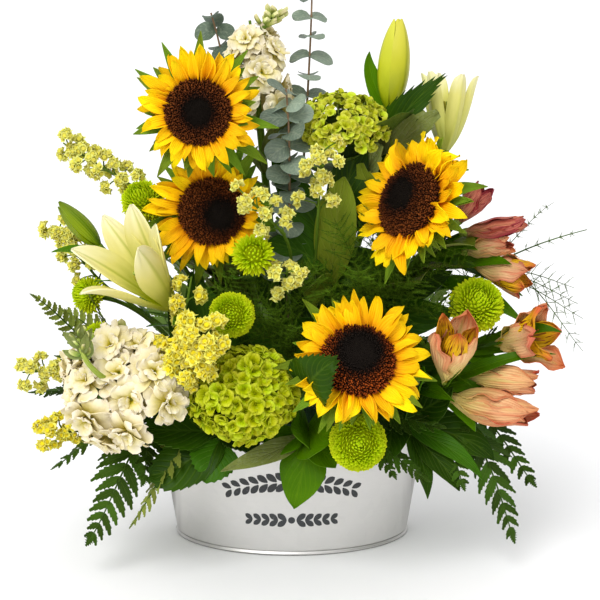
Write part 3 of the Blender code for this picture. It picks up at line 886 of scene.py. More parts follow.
def lathe(profile: list[Pair], steps: int, closed: bool = False) -> bmesh.types.BMesh:
    """A shape turned round +Z.

    Args:
        profile: The (radius, height) points of its section.
        steps: Number of steps round.
        closed: Whether the last point joins the first.

    Returns:
        The shape, still open to changes.
    """
    shape = new_shape()
    verts = [shape.verts.new((radius, 0, height)) for radius, height in profile]
    edges = [shape.edges.new((verts[at - 1], verts[at])) for at in range(0 if closed else 1, len(verts))]
    bmesh.ops.spin(shape, geom=verts + edges, cent=(0, 0, 0), axis=UP, angle=FULL_TURN, steps=steps,
        use_merge=True)
    return shape


def bearing(turn: float, polar: float) -> Vector:
    """The direction at an angle from +Z, turned round it."""
    return Vector((math.cos(turn) * math.sin(polar), math.sin(turn) * math.sin(polar), math.cos(polar)))


def beside(slope: Vector, turn: float) -> Vector:
    """A direction square to a slope, turned round it."""
    return Matrix.Rotation(turn, 3, slope) @ slope.orthogonal().normalized()


def spoke(turn: float, out: float, rise: float, tilt: float) -> Matrix:
    """A place out from +Z and turned round it, whose +Y points outwards and up by a tilt."""
    return (Matrix.Rotation(turn, 4, "Z") @ Matrix.Translation((0, out, rise)) @ Matrix.Rotation(tilt, 4,
        "X"))


def scaled(size: float) -> Matrix:
    """An even scaling."""
    return Matrix.Scale(size, 4)


class Cluster:
    """Copies of small meshes gathered into one piece of the arrangement."""

    def __init__(self) -> None:
        """Start with nothing."""
        self.whole = new_shape()

    def add(self, part: bpy.types.Mesh, place: Matrix | None = None, tone: float | None = 0.5,
            level: float = 0, look: int = 0) -> None:
        """Add a copy of a part.

        Args:
            part: The mesh to copy.
            place: Where the copy goes; none leaves it where it was built.
            tone: Its own share of the variation between copies, from 0 to 1; none keeps the part's.
            level: Its place on the plant, from 0 to 1, for finishes that read it.
            look: Number of the finish it takes.
        """
        copy = part.copy()
        if place is not None:
            copy.transform(place)
        count = len(copy.vertices)
        if tone is not None:
            copy.attributes["tone"].data.foreach_set("value", [tone] * count)
        copy.attributes["level"].data.foreach_set("value", [level] * count)
        if look:
            copy.polygons.foreach_set("material_index", [look] * len(copy.polygons))
        self.whole.from_mesh(copy)
        bpy.data.meshes.remove(copy)

    def piece(self, name: str, slot: Slot, finishes: Iterable[Finish], *nodes: str) -> bpy.types.Object:
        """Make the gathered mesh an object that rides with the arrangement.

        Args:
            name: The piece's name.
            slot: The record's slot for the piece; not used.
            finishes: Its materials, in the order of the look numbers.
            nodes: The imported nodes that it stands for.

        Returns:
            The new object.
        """
        mesh = settle(self.whole)
        mesh.name = name
        mesh.shade_smooth()
        mesh.set_sharp_from_angle(angle=CREASE)
        thing = bpy.data.objects.new(name, mesh)
        bpy.context.scene.collection.objects.link(thing)
        for finish in finishes:
            mesh.materials.append(finish.material())
        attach(thing, BODY)
        if nodes:
            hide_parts(*nodes)
        log.info("%-28s %7d triangles", name, sum(len(face.vertices) - 2 for face in mesh.polygons))
        return thing


# ---- stems ----


@dataclass(frozen=True)
class Stem:
    """A stem's way: a straight foot in the foam, a knee just outside it and a curve to the end.

    Attributes:
        entry: Where it enters the foam.
        lean: The way that the foot stands.
        end: Where it ends.
        facing: The way that its end points.
        radius: Its radius at the foot.
        depth: Length in the foam.
    """

    entry: Vector
    lean: Vector
    end: Vector
    facing: Vector
    radius: float
    depth: float = STEM_DEPTH

    @classmethod
    def planted(cls, entry: Pair, base: Vector, facing: Vector, radius: float) -> "Stem":
        """A stem to a flower head from an (x, y) entry in the foam's top, leaning the way the head lies."""
        top = Vector((*entry, FOAM_TOP))
        lean = Vector((base.x - top.x, base.y - top.y, 2 * max(base.z - top.z, LEAST_RISE)))
        return cls(top, lean, base, facing, radius)

    @classmethod
    def set_in(cls, entry: Pair | Triple, lean: Triple, tip: Triple, tip_way: Triple, radius: float,
            depth: float = STEM_DEPTH) -> "Stem":
        """A stem with its own lean, from an entry in the foam's top or side."""
        foot = Vector((*entry, FOAM_TOP)[:3])
        return cls(foot, Vector(lean), Vector(tip), Vector(tip_way), radius, depth)

    def curve(self) -> Curve:
        """The curve from the knee to the end."""
        knee = self.entry + self.lean.normalized() * KNEE_LENGTH
        return Curve.between(knee, self.lean, self.end, self.facing)

    def at(self, share: float) -> tuple[Vector, Vector]:
        """Point and direction at a share of the curve above the knee."""
        return self.curve().at(share)

    def mesh(self, taper: float = 0.8, finish: float = 1, sides: int = 8) -> bpy.types.Mesh:
        """The round stem from its foot in the foam.

        Args:
            taper: The radius at the end, as a share of the stem's.
            finish: Share of the curve where the round stem stops.
            sides: Number of faces round it.

        Returns:
            The closed tube.
        """
        spots = self.curve().spots(evenly(STEM_STEPS, 0, finish), FRONT)
        foot = spots[0]._replace(point=self.entry - self.lean.normalized() * self.depth)
        radii = evenly(STEM_STEPS, self.radius, self.radius * taper)
        return tube([foot, *spots], [self.radius, *radii], sides)


@dataclass(frozen=True)
class SideLeaf:
    """A leaf that grows from a plant's stem on its own short stalk.

    Attributes:
        share: Where on the stem's curve it grows.
        tip: Where it ends.
        half: Half its width.
        upper: The direction that its upper side looks to.
        tip_way: The direction that its tip points, if not straight on.
        outline: Its shape.
        teeth: Depth of its teeth.
        rows: Grid steps along it.
        fold: How far it folds along the midrib.
        twist: How far it turns, in radians.
    """

    share: float
    tip: Triple
    half: float
    upper: Triple = (0, -0.6, 0.8)
    tip_way: Triple | None = None
    outline: Outline = Outline.STALKED
    teeth: float = 0
    rows: int = 16
    fold: float = 0.22
    twist: float = 0

    def mesh(self, stem: Stem) -> bpy.types.Mesh:
        """The leaf on its stem."""
        start, slope = stem.at(self.share)
        tip = Vector(self.tip)
        way = (tip - start).normalized()
        end_way = Vector(self.tip_way) if self.tip_way else way - UP * 0.35
        spine = Curve.between(start, way + slope * 0.5 + UP * 0.2, tip, end_way, 0.35, 0.3)
        return Blade(spine, self.half, self.outline, Vector(self.upper), columns=6, rows=self.rows,
            thick=0.0005, fold=self.fold, ripple=0.05, waves=2, phase=self.half * 900, teeth=self.teeth,
            twist=self.twist).mesh()


class Chance:
    """Random numbers that come out the same in every build."""

    def begin(self, name: str) -> None:
        """Start the series that goes with a name."""
        chance = random.Random(name)
        self.vary, self.pick, self.tone = chance.uniform, chance.choice, chance.random


@dataclass
class Plant(Chance):
    """A plant whose stem stands in the foam.

    Attributes:
        name: Its name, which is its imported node's.
        entry: Where it enters the foam: (x, y) in the top, or (x, y, z) in the side.
    """

    name: str
    entry: Pair | Triple

    def __post_init__(self) -> None:
        """Give the plant random numbers of its own."""
        self.begin(self.name)

    def sprout(self, stem: Stem, count: int, length: float, half: float, low: float, high: float,
            **form: Outline | float) -> list[SideLeaf]:
        """Leaves set round a stem by the golden angle, pointing outwards from the middle of the tub.

        Args:
            stem: The stem that they grow from.
            count: Number of leaves.
            length: Usual length.
            half: Usual half-width.
            low: Lowest share of the stem that bears a leaf.
            high: Highest share.
            form: What else a side leaf takes.

        Returns:
            The leaves.
        """
        leaves = []
        for index in range(count):
            share = low + (high - low) * (index + 0.5) / count
            point, slope = stem.at(share)
            angle = (index * GOLDEN_ANGLE) % FULL_TURN * 0.5 - 1.5 + self.vary(-0.3, 0.3)
            outward = Vector((point.x, point.y - 0.02, 0)).normalized()
            outward.rotate(Matrix.Rotation(angle, 3, "Z"))
            way = (outward + slope * 0.7).normalized()
            tip = point + way * length * self.vary(0.8, 1.2)
            leaves.append(SideLeaf(share, tuple(tip), half * self.vary(0.85, 1.15), tuple(outward * 0.3 + UP),
                **form))
        return leaves

    def bear(self, cluster: Cluster, stem: Stem, leaves: Iterable[SideLeaf], look: int) -> None:
        """Add leaves to a part of the plant, each with a tone of its own."""
        for leaf in leaves:
            cluster.add(leaf.mesh(stem), tone=self.tone(), look=look)

    def done(self, cluster: Cluster, part: str, slot: Slot, *finishes: Finish) -> None:
        """Make a part of the plant a piece."""
        cluster.piece(f"{self.name}_{part}", slot, finishes, self.name)


@dataclass
class Head(Plant):
    """A plant with one round flower head.

    Attributes:
        centre: Middle of the head.
        facing: The way it looks.
    """

    centre: Triple
    facing: Triple

    def __post_init__(self) -> None:
        """Work out the head's place."""
        super().__post_init__()
        self.centre, self.facing = Vector(self.centre), Vector(self.facing).normalized()
        self.head = aim(self.centre, self.facing)

    def stem(self, back: float, radius: float) -> Stem:
        """The stem, which ends a little behind the head's middle."""
        return Stem.planted(self.entry, self.centre - self.facing * back, self.facing, radius)


@dataclass
class Spire(Plant):
    """A plant whose flower runs along a line.

    Attributes:
        base: Where the line begins, at the stem's end.
        tip: Where it ends.
    """

    base: Triple
    tip: Triple

    def __post_init__(self) -> None:
        """Work out the line."""
        super().__post_init__()
        self.base, self.tip = Vector(self.base), Vector(self.tip)
        self.facing = (self.tip - self.base).normalized()
        self.length = (self.tip - self.base).length

    def stem(self, radius: float) -> Stem:
        """The stem up to the base."""
        return Stem.planted(self.entry, self.base, self.facing, radius)


@dataclass
class Greenery(Plant):
    """A plant without flowers.

    Attributes:
        lean: The way that it leaves the foam.
        tip: Its end.
        tip_way: The way that its end points.
    """

    lean: Triple
    tip: Triple
    tip_way: Triple

    def stem(self, radius: float, depth: float = STEM_DEPTH) -> Stem:
        """The stem along its whole length."""
        return Stem.set_in(self.entry, self.lean, self.tip, self.tip_way, radius, depth)


# ---- finishes ----

RAY = PetalFinish("sunflower_ray", (222, 128, 0), (252, 190, 0), (255, 218, 4), turn=0.36,
    back=(226, 186, 16), back_share=0.3, veins=7, depth=0.0005, spread=0.24, rough=0.62)
BRACT = PetalFinish("sunflower_bract", (70, 104, 14), (96, 132, 22), (124, 152, 34), veins=9, depth=0.0005,
    spread=0.3, rough=0.7)
DISC = DiscFinish("sunflower_disc", (27, 22, 18), (66, 32, 17), (84, 42, 20), (116, 62, 26), 0.4)
DISC_RUSTY = DiscFinish("sunflower_disc_rusty", (30, 25, 21), (66, 30, 13), (98, 42, 16), (160, 74, 26), 0.54)
CHAFF = PetalFinish("sunflower_chaff", (34, 14, 8), (64, 26, 12), (96, 42, 14), veins=3, spread=0.5,
    rough=0.7)
TEPAL = PetalFinish("lily_tepal", (180, 190, 0), (232, 224, 132), (244, 238, 192), turn=0.66, hold=0.26,
    rib=(164, 174, 20), rib_width=0.16, rib_reach=1.2, back=(226, 218, 130), back_share=0.2, veins=3,
    depth=0.0007, spread=0.06, rough=0.42, shine=0.3)
TEPAL_YOUNG = PetalFinish("lily_tepal_young", (144, 158, 14), (222, 218, 116), (246, 242, 206), turn=0.7,
    hold=0.16, rib=(178, 186, 50), rib_width=0.2, rib_reach=1, back=(216, 212, 120), back_share=0.4, veins=3,
    depth=0.0006, spread=0.1, rough=0.42, shine=0.3)
BUD_YELLOW = PetalFinish("lily_bud_yellow", (132, 148, 0), (186, 188, 34), (204, 200, 70), turn=0.5,
    rib=(138, 150, 8), rib_width=0.16, rib_reach=1.3, veins=1.5, depth=0.0005, rough=0.36, shine=0.3)
BUD_LEAF = PetalFinish("lily_bud_green", (100, 128, 0), (124, 144, 0), (106, 128, 2), turn=0.4,
    rib=(72, 104, 6), rib_width=0.5, rib_reach=1, veins=8, depth=0.0005, rough=0.35, shine=0.14)
ANTHER = PetalFinish("lily_anther", (150, 150, 40), (170, 166, 50), (190, 182, 70), veins=6, depth=0.0004,
    rough=0.9)
STOCK_PETAL = PetalFinish("stock_petal", (206, 192, 48), (230, 217, 162), (238, 229, 206), turn=0.58,
    hold=0.14, back=(228, 214, 176), back_share=0.4, veins=4, depth=0.0003, spread=0.07, rough=0.6,
    shine=0.05)
STOCK_BUD = PetalFinish("stock_bud", (110, 140, 60), (170, 180, 90), (230, 222, 168), turn=0.5, veins=6,
    spread=0.3, rough=0.65)
SEPAL = PetalFinish("hydrangea_sepal", (140, 154, 0), (176, 188, 8), (206, 212, 60), turn=0.5,
    back=(170, 184, 20), back_share=0.5, veins=4, depth=0.0004, spread=0.28, rough=0.58, shine=0.05)
SEPAL_PALE = PetalFinish("hydrangea_sepal_pale", (152, 164, 10), (194, 202, 38), (214, 216, 88), turn=0.5,
    back=(184, 192, 40), back_share=0.5, veins=4, depth=0.0004, spread=0.34, rough=0.58, shine=0.04)
POM_PETAL = PetalFinish("pom_petal", (138, 158, 0), (196, 214, 4), (214, 226, 34), turn=0.45, veins=3,
    depth=0.0002, spread=0.26, rough=0.6, shine=0.04)
PAPER = PetalFinish("statice_paper", (150, 156, 44), (218, 210, 76), (232, 230, 136), turn=0.4, veins=5,
    depth=0.0004, spread=0.2, rough=0.75, shine=0.05)
PAPER_BRIGHT = PetalFinish("statice_bright", (172, 168, 10), (232, 214, 34), (238, 232, 118), turn=0.4,
    veins=5, depth=0.0004, spread=0.2, rough=0.75, shine=0.05)
SALMON_OUTER = PetalFinish("alstroemeria_outer", (196, 182, 84), (228, 176, 126), (204, 92, 50), turn=0.62,
    hold=0.2, rib=(166, 160, 60), rib_width=0.18, rib_reach=0.9, back=(228, 190, 138), back_share=0.4,
    veins=13, depth=0.0006, spread=0.2, rough=0.42, edge=(194, 82, 50), edge_share=0.55)
SALMON_DUSKY = PetalFinish("alstroemeria_dusky", (140, 120, 50), (196, 110, 84), (166, 62, 56), turn=0.4,
    rib=(160, 120, 70), rib_width=0.16, rib_reach=0.8, back=(214, 140, 112), back_share=0.4, veins=8,
    depth=0.0009, spread=0.24, rough=0.45, edge=(140, 36, 40), edge_share=0.9)
SALMON_INNER = FleckedFinish("alstroemeria_inner", (170, 156, 20), (226, 176, 24), (200, 92, 48), turn=0.3,
    veins=6, depth=0.0008, spread=0.1, rough=0.42)
SILVER = LeafFinish("eucalyptus_leaf", (138, 154, 134), (86, 106, 88), (172, 182, 156), (120, 140, 130),
    veins=6, slant=0.5, depth=0.0003, down=0.3, show=0.35, shine=0.5)
SILVER_DARK = LeafFinish("eucalyptus_leaf_dark", (90, 108, 86), (56, 76, 58), (120, 134, 110), (94, 114, 100),
    veins=6, slant=0.5, depth=0.0003, down=0.2, show=0.35, shine=0.4)
FERN = LeafFinish("fern_leaf", (66, 96, 22), (34, 60, 10), (96, 122, 44), (96, 120, 50), veins=10, slant=0.3,
    depth=0.0004, rough=0.45)
FERN_PALE = LeafFinish("fern_leaf_pale", (138, 148, 60), (100, 116, 42), (158, 166, 86), (112, 130, 60),
    veins=10, slant=0.3, depth=0.0004)
NEEDLE = LeafFinish("plume_needle", (82, 114, 16), (34, 62, 6), (98, 122, 28), (82, 114, 16), veins=0,
    depth=0.0001, rough=0.6)
GLOSSY = LeafFinish("leaf_glossy", (92, 138, 2), (52, 98, 2), (120, 158, 20), (92, 128, 30), veins=6,
    slant=0.7, depth=0.0003, rough=0.34, show=0.16)
DEEP = LeafFinish("leaf_deep", (56, 92, 8), (26, 56, 4), (92, 124, 36), (92, 120, 44), rough=0.38, shine=0.07)
OLIVE = LeafFinish("leaf_olive", (122, 134, 34), (84, 104, 20), (144, 152, 62), (136, 144, 78), rough=0.55)
UNDERSIDE = LeafFinish("leaf_pale_underside", (136, 146, 76), (104, 118, 50), (156, 162, 96), (128, 138, 88),
    depth=0.0008, rough=0.6, down=0.15, shine=0.15)
STALK = StemFinish("stem_green", (80, 112, 22), (106, 132, 40))
STALK_PALE = StemFinish("stem_pale", (136, 156, 54), (164, 178, 84))
STALK_DARK = StemFinish("stem_dark", (42, 70, 16), (68, 94, 26))
# SHADE_GREEN colours the ball inside each hydrangea head: painted shade between the florets.
SHADE_GREEN = StemFinish("shaded_green", (46, 62, 2), (80, 98, 8), rough=0.8)
TWIG_TAN = StemFinish("twig_tan", (128, 96, 72), (150, 132, 100), rough=0.6)


# ---- flowers ----


@dataclass
class Sunflower(Head):
    """A cut sunflower: stem, downy leaves, green bracts, two whorls of rays and a disc of florets.

    Attributes:
        disc: Radius of the disc.
        reach: Usual distance from the centre to the rays' tips.
        half: Usual half-width of a ray.
        long_side: Angle of the longest rays, in degrees anticlockwise from the head's right.
        long_gain: How much longer they are.
        lift: How far the rays stand forward, in radians.
        rusty: Whether the disc has opened into rust-coloured florets.
        heart: Where the dark middle of the disc sits, as a share of its radius to the right and up.
        leaves: The leaves placed one by one.
        wild: Number of further leaves on the stem.
        rays: Number of rays in each whorl.
        florets: Number of florets in the disc.
        scales: Number of chaff scales round the disc.
        bracts: Number of bracts in each of the two rows.
    """

    disc: float
    reach: float
    half: float = 0.005
    long_side: float = 90
    long_gain: float = 0.12
    lift: float = 0.1
    rusty: bool = False
    heart: Pair = (0, 0)
    leaves: tuple[SideLeaf, ...] = ()
    wild: int = 7
    rays: int = 25
    florets: int = 1250
    scales: int = 80
    bracts: int = 17

    def ray_shapes(self, length: float) -> list[bpy.types.Mesh]:
        """Ten rays that differ in curl, width, folding and the nick in their tip."""
        shapes, vary = [], self.vary
        for index in range(10):
            lift = vary(-0.05, 0.22) * length
            curl = vary(-0.42, 0.3) * length
            sway = vary(-0.16, 0.16) * length
            spine = Curve(Vector(), Vector((0, length * 0.35, lift * 0.7)), Vector((sway * 0.4, length * 0.72,
                lift * 1.5)), Vector((sway, length, lift + curl)))
            shapes.append(Blade(spine, self.half * vary(0.78, 1.16), Outline.RAY, rows=9, cup=vary(-0.5, 0.7),
                fold=vary(-0.1, 0.5), ripple=vary(0.05, 0.28), waves=vary(1, 2.6), phase=vary(0, 6),
                twist=vary(-0.9, 0.9), notch=0.5 if index % 4 == 1 else 0).mesh())
        return shapes

    def petals(self) -> None:
        """Make two whorls of rays round the disc, the back one a little longer."""
        rays, vary = Cluster(), self.vary
        shapes = self.ray_shapes(self.reach - self.disc * 0.9)
        for whorl in range(2):
            for index in range(self.rays):
                angle = FULL_TURN * (index + 0.5 * whorl + vary(-0.34, 0.34)) / self.rays
                lead = math.cos(angle - math.radians(self.long_side))
                scale = (1 + self.long_gain * lead) * vary(0.8, 1.12) * (1.05 - 0.14 * whorl)
                tilt = self.lift + vary(-0.2, 0.22) + 0.14 * whorl
                place = (self.head @ spoke(angle - RIGHT_ANGLE, self.disc * 0.9, 0.0022 * whorl - 0.0045,
                    tilt) @ Matrix.Rotation(vary(-0.45, 0.45), 4, "Y") @ Matrix.Rotation(vary(-0.14, 0.14), 4,
                    "Z") @ Matrix.Diagonal((vary(0.88, 1.1), scale, scale, 1)))
                rays.add(self.pick(shapes), place, self.tone())
        self.done(rays, "rays", Slot.SUN, RAY)

    def face(self) -> None:
        """Make the domed disc: florets in a golden spiral over a cushion, with chaff round the rim."""
        disc, vary = Cluster(), self.vary
        cushion = new_shape()
        bmesh.ops.create_uvsphere(cushion, u_segments=24, v_segments=12, radius=self.disc * 0.97)
        bmesh.ops.scale(cushion, verts=cushion.verts[:], vec=(1, 1, 0.2))
        disc.add(settle(cushion), self.head @ Matrix.Translation((0, 0, -0.001)), 0.3, 0.3)
        foot = 0.00056
        closed, opened = spike(foot, foot * 0.45, 0.002, 4), spike(foot, foot * 0.9, 0.0028, 4)
        heart = Vector((*self.heart, 0)) * self.disc
        for index in range(self.florets):
            share = math.sqrt((index + 0.5) / self.florets)
            spot = bearing(index * GOLDEN_ANGLE, RIGHT_ANGLE) * (share * self.disc * 0.98)
            flat = spot.xy.to_3d()
            spot.z = self.disc * 0.2 * math.sqrt(max(1 - share ** 2, 0)) - 0.0014
            level = min((flat - heart).length / self.disc, 1)
            lean = flat * (0.55 / self.disc) * share + UP
            lean += Vector((vary(-0.22, 0.22), vary(-0.22, 0.22), 0))
            place = self.head @ aim(spot, lean, vary(0, 1.3))
            size = (0.78 + 0.4 * level) * vary(0.75, 1.25)
            disc.add(opened if level > 0.42 else closed, place @ scaled(size), self.tone(), level)
        scale = Blade(local((0, 0), (0.0016, 0.001), (0.0032, 0.0018), (0.0046, 0.0014)), 0.0008,
            Outline.LANCE, columns=2, rows=3, thick=0.0003).mesh()
        for index in range(self.scales):
            angle = FULL_TURN * (index + vary(-0.4, 0.4)) / self.scales
            place = self.head @ spoke(angle, self.disc * 0.94, -0.001, vary(-0.1, 0.9))
            disc.add(scale, place @ scaled(vary(0.6, 1.1)), self.tone(), 1, look=1)
        self.done(disc, "disc", Slot.SUN, DISC_RUSTY if self.rusty else DISC, CHAFF)

    def green(self) -> None:
        """Make the stem with its leaves, the cup behind the head and its pointed bracts."""
        green, vary, stem = Cluster(), self.vary, self.stem(0.03, 0.005)
        green.add(stem.mesh(0.95, sides=10), tone=self.tone())
        axis = Curve.between(stem.end, self.facing, self.centre - self.facing * 0.003, self.facing)
        radii = [0.0052, 0.0085, 0.015, 0.0205, 0.024, self.disc * 0.92, self.disc * 0.9]
        green.add(tube(axis.spots(evenly(6), FRONT), radii, 20), look=1)
        bracts = []
        for index in range(6):
            reach = 0.024 + 0.004 * index
            spine = local((0, 0), (reach * 0.34, 0.002), (reach * 0.7, 0.003), (reach, vary(-0.012, 0.01)))
            bracts.append(Blade(spine, 0.0058, Outline.HEART, thick=0.0006, fold=0.3, cup=0.15,
                twist=vary(-0.5, 0.5)).mesh())
        for index in range(2 * self.bracts):
            angle = FULL_TURN * (index + vary(-0.35, 0.35)) / self.bracts
            outer = index >= self.bracts
            place = self.head @ spoke(angle, self.disc * (0.62 + 0.1 * outer), -0.0075 - 0.004 * outer,
                vary(-0.3, 0.12)) @ scaled(vary(0.85, 1.12))
            green.add(self.pick(bracts), place, self.tone(), look=1)
        wild = self.sprout(stem, self.wild, 0.066, 0.024, 0.12, 0.6)
        self.bear(green, stem, (*self.leaves, *wild), 2)
        self.done(green, "green", Slot.LEAF, STALK, BRACT, OLIVE)

    def build(self) -> None:
        """Make the sunflower's three pieces."""
        self.green()
        self.petals()
        self.face()


@dataclass(frozen=True)
class Tepal:
    """One of a lily's six tepals.

    Attributes:
        tip: Where it ends.
        half: Half its width.
        curl: How far its end turns outwards.
        bow: How far it swells out near its foot.
    """

    tip: Triple
    half: float
    curl: float = 0.5
    bow: float = 0.45


@dataclass
class OpenLily(Spire):
    """A lily whose tepals stand wide apart, with pistil and stamens inside.

    Attributes:
        tepals: The six tepals.
        finish: Their finish.
        outline: Their shape.
        cup: How far their edges rise.
        radius: The stem's radius.
    """

    tepals: tuple[Tepal, ...]
    finish: PetalFinish
    outline: Outline = Outline.TEPAL
    cup: float = 0.4
    radius: float = STOUT

    def flower(self) -> None:
        """Make the six tepals with the pistil and stamens."""
        bloom = Cluster()
        for tepal in self.tepals:
            tip = Vector(tepal.tip)
            reach = tip - self.base
            length = reach.length
            outward = (reach - self.facing * reach.dot(self.facing)).normalized()
            start = self.base + outward * self.radius * 0.6
            spine = Curve(start, start + (self.facing * 0.8 + outward * tepal.bow * 0.6) * (length * 0.33),
                tip - (reach.normalized() + outward * tepal.curl).normalized() * (length * 0.3), tip)
            shape = Blade(spine, tepal.half, self.outline, self.facing - outward * 1.2, columns=8, rows=16,
                thick=0.0012, cup=self.cup, fold=0.06, ripple=0.05, waves=1.5, phase=self.vary(0, 6),
                twist=self.vary(-0.15, 0.15))
            bloom.add(shape.mesh(), tone=self.tone())
        depth = self.length
        filament = local((0, 0), (0.2 * depth, 0.002), (0.36 * depth, 0.003), (0.54 * depth, 0.005))
        anther = Blade(local((-0.005, 0), (-0.002, 0.0008), (0.002, 0.0008), (0.005, 0)), 0.0014,
            Outline.STRAP, columns=2, rows=4, thick=0.0014).mesh()
        inside = aim(self.base, self.facing)
        for index in range(6):
            place = inside @ Matrix.Rotation(FULL_TURN * (index + 0.5) / 6, 4, "Z") @ GROWN_UP
            bloom.add(twig(filament, 0.0008, 0.0005, 8, 5), place, look=1)
            bloom.add(anther, place @ Matrix.Translation(filament.end), look=2)
        style = local((0, 0), (0.2 * depth, 0), (0.4 * depth, 0.001), (0.62 * depth, 0.002))
        bloom.add(twig(style, 0.0014, 0.0018, 8), inside @ GROWN_UP, look=1)
        self.done(bloom, "flower", Slot.LILY, self.finish, STALK_PALE, ANTHER)

    def build(self) -> None:
        """Make the stem with its narrow leaves, then the flower."""
        green, stem = Cluster(), self.stem(self.radius)
        green.add(stem.mesh(0.9), tone=self.tone())
        self.bear(green, stem, self.sprout(stem, 4, 0.062, 0.0085, 0.25, 0.85, outline=Outline.LANCE,
            fold=0.3), 1)
        self.done(green, "green", Slot.LEAF, STALK, GLOSSY)
        self.flower()


@dataclass
class LilyBud(Spire):
    """A closed lily bud: a grooved spindle whose three outer tepals part a little at the tip.

    Attributes:
        half: Half its width.
        radius: The stem's radius.
        finish: Its finish.
        leaf: The leaf beside it.
    """

    half: float
    radius: float
    finish: PetalFinish
    leaf: SideLeaf

    def build(self) -> None:
        """Make the bud, then its stem and leaves."""
        base, tip, facing, half = self.base, self.tip, self.facing, self.half
        bud, green, stem = Cluster(), Cluster(), self.stem(self.radius)
        axis = Curve.between(base - facing * 0.002, facing, tip, facing)
        shares = evenly(16)
        radii = []
        for share in shares:
            swell = math.sin(math.pi * min(share ** 1.12 * 0.97 + 0.02, 1)) ** 0.6 * (1 - 0.3 * share ** 5)
            radii.append(max(half * swell * 0.94, self.radius * (1 - share)))
        bud.add(tube(axis.spots(shares, FRONT), radii, 24))
        for index in range(3):
            outward = beside(facing, FULL_TURN * index / 3 + 0.5)
            start = base + outward * self.radius * 0.7
            spine = Curve(start, start + facing * self.length * 0.22 + outward * half * 1.34, tip - facing
                * self.length * 0.3 + outward * half * 1.36, tip + outward * half * 0.3 + facing
                * self.vary(-0.003, 0.002))
            bud.add(Blade(spine, half * 0.98, Outline.OVAL, -outward, columns=8, rows=16, thick=0.0008,
                cup=0.62).mesh(), tone=self.tone())
        self.done(bud, "bud", Slot.BUD, self.finish)
        green.add(stem.mesh(0.95), tone=self.tone())
        wild = self.sprout(stem, 3, 0.055, 0.008, 0.3, 0.8, outline=Outline.LANCE)
        self.bear(green, stem, (self.leaf, *wild), 1)
        self.done(green, "green", Slot.LEAF, STALK, GLOSSY)


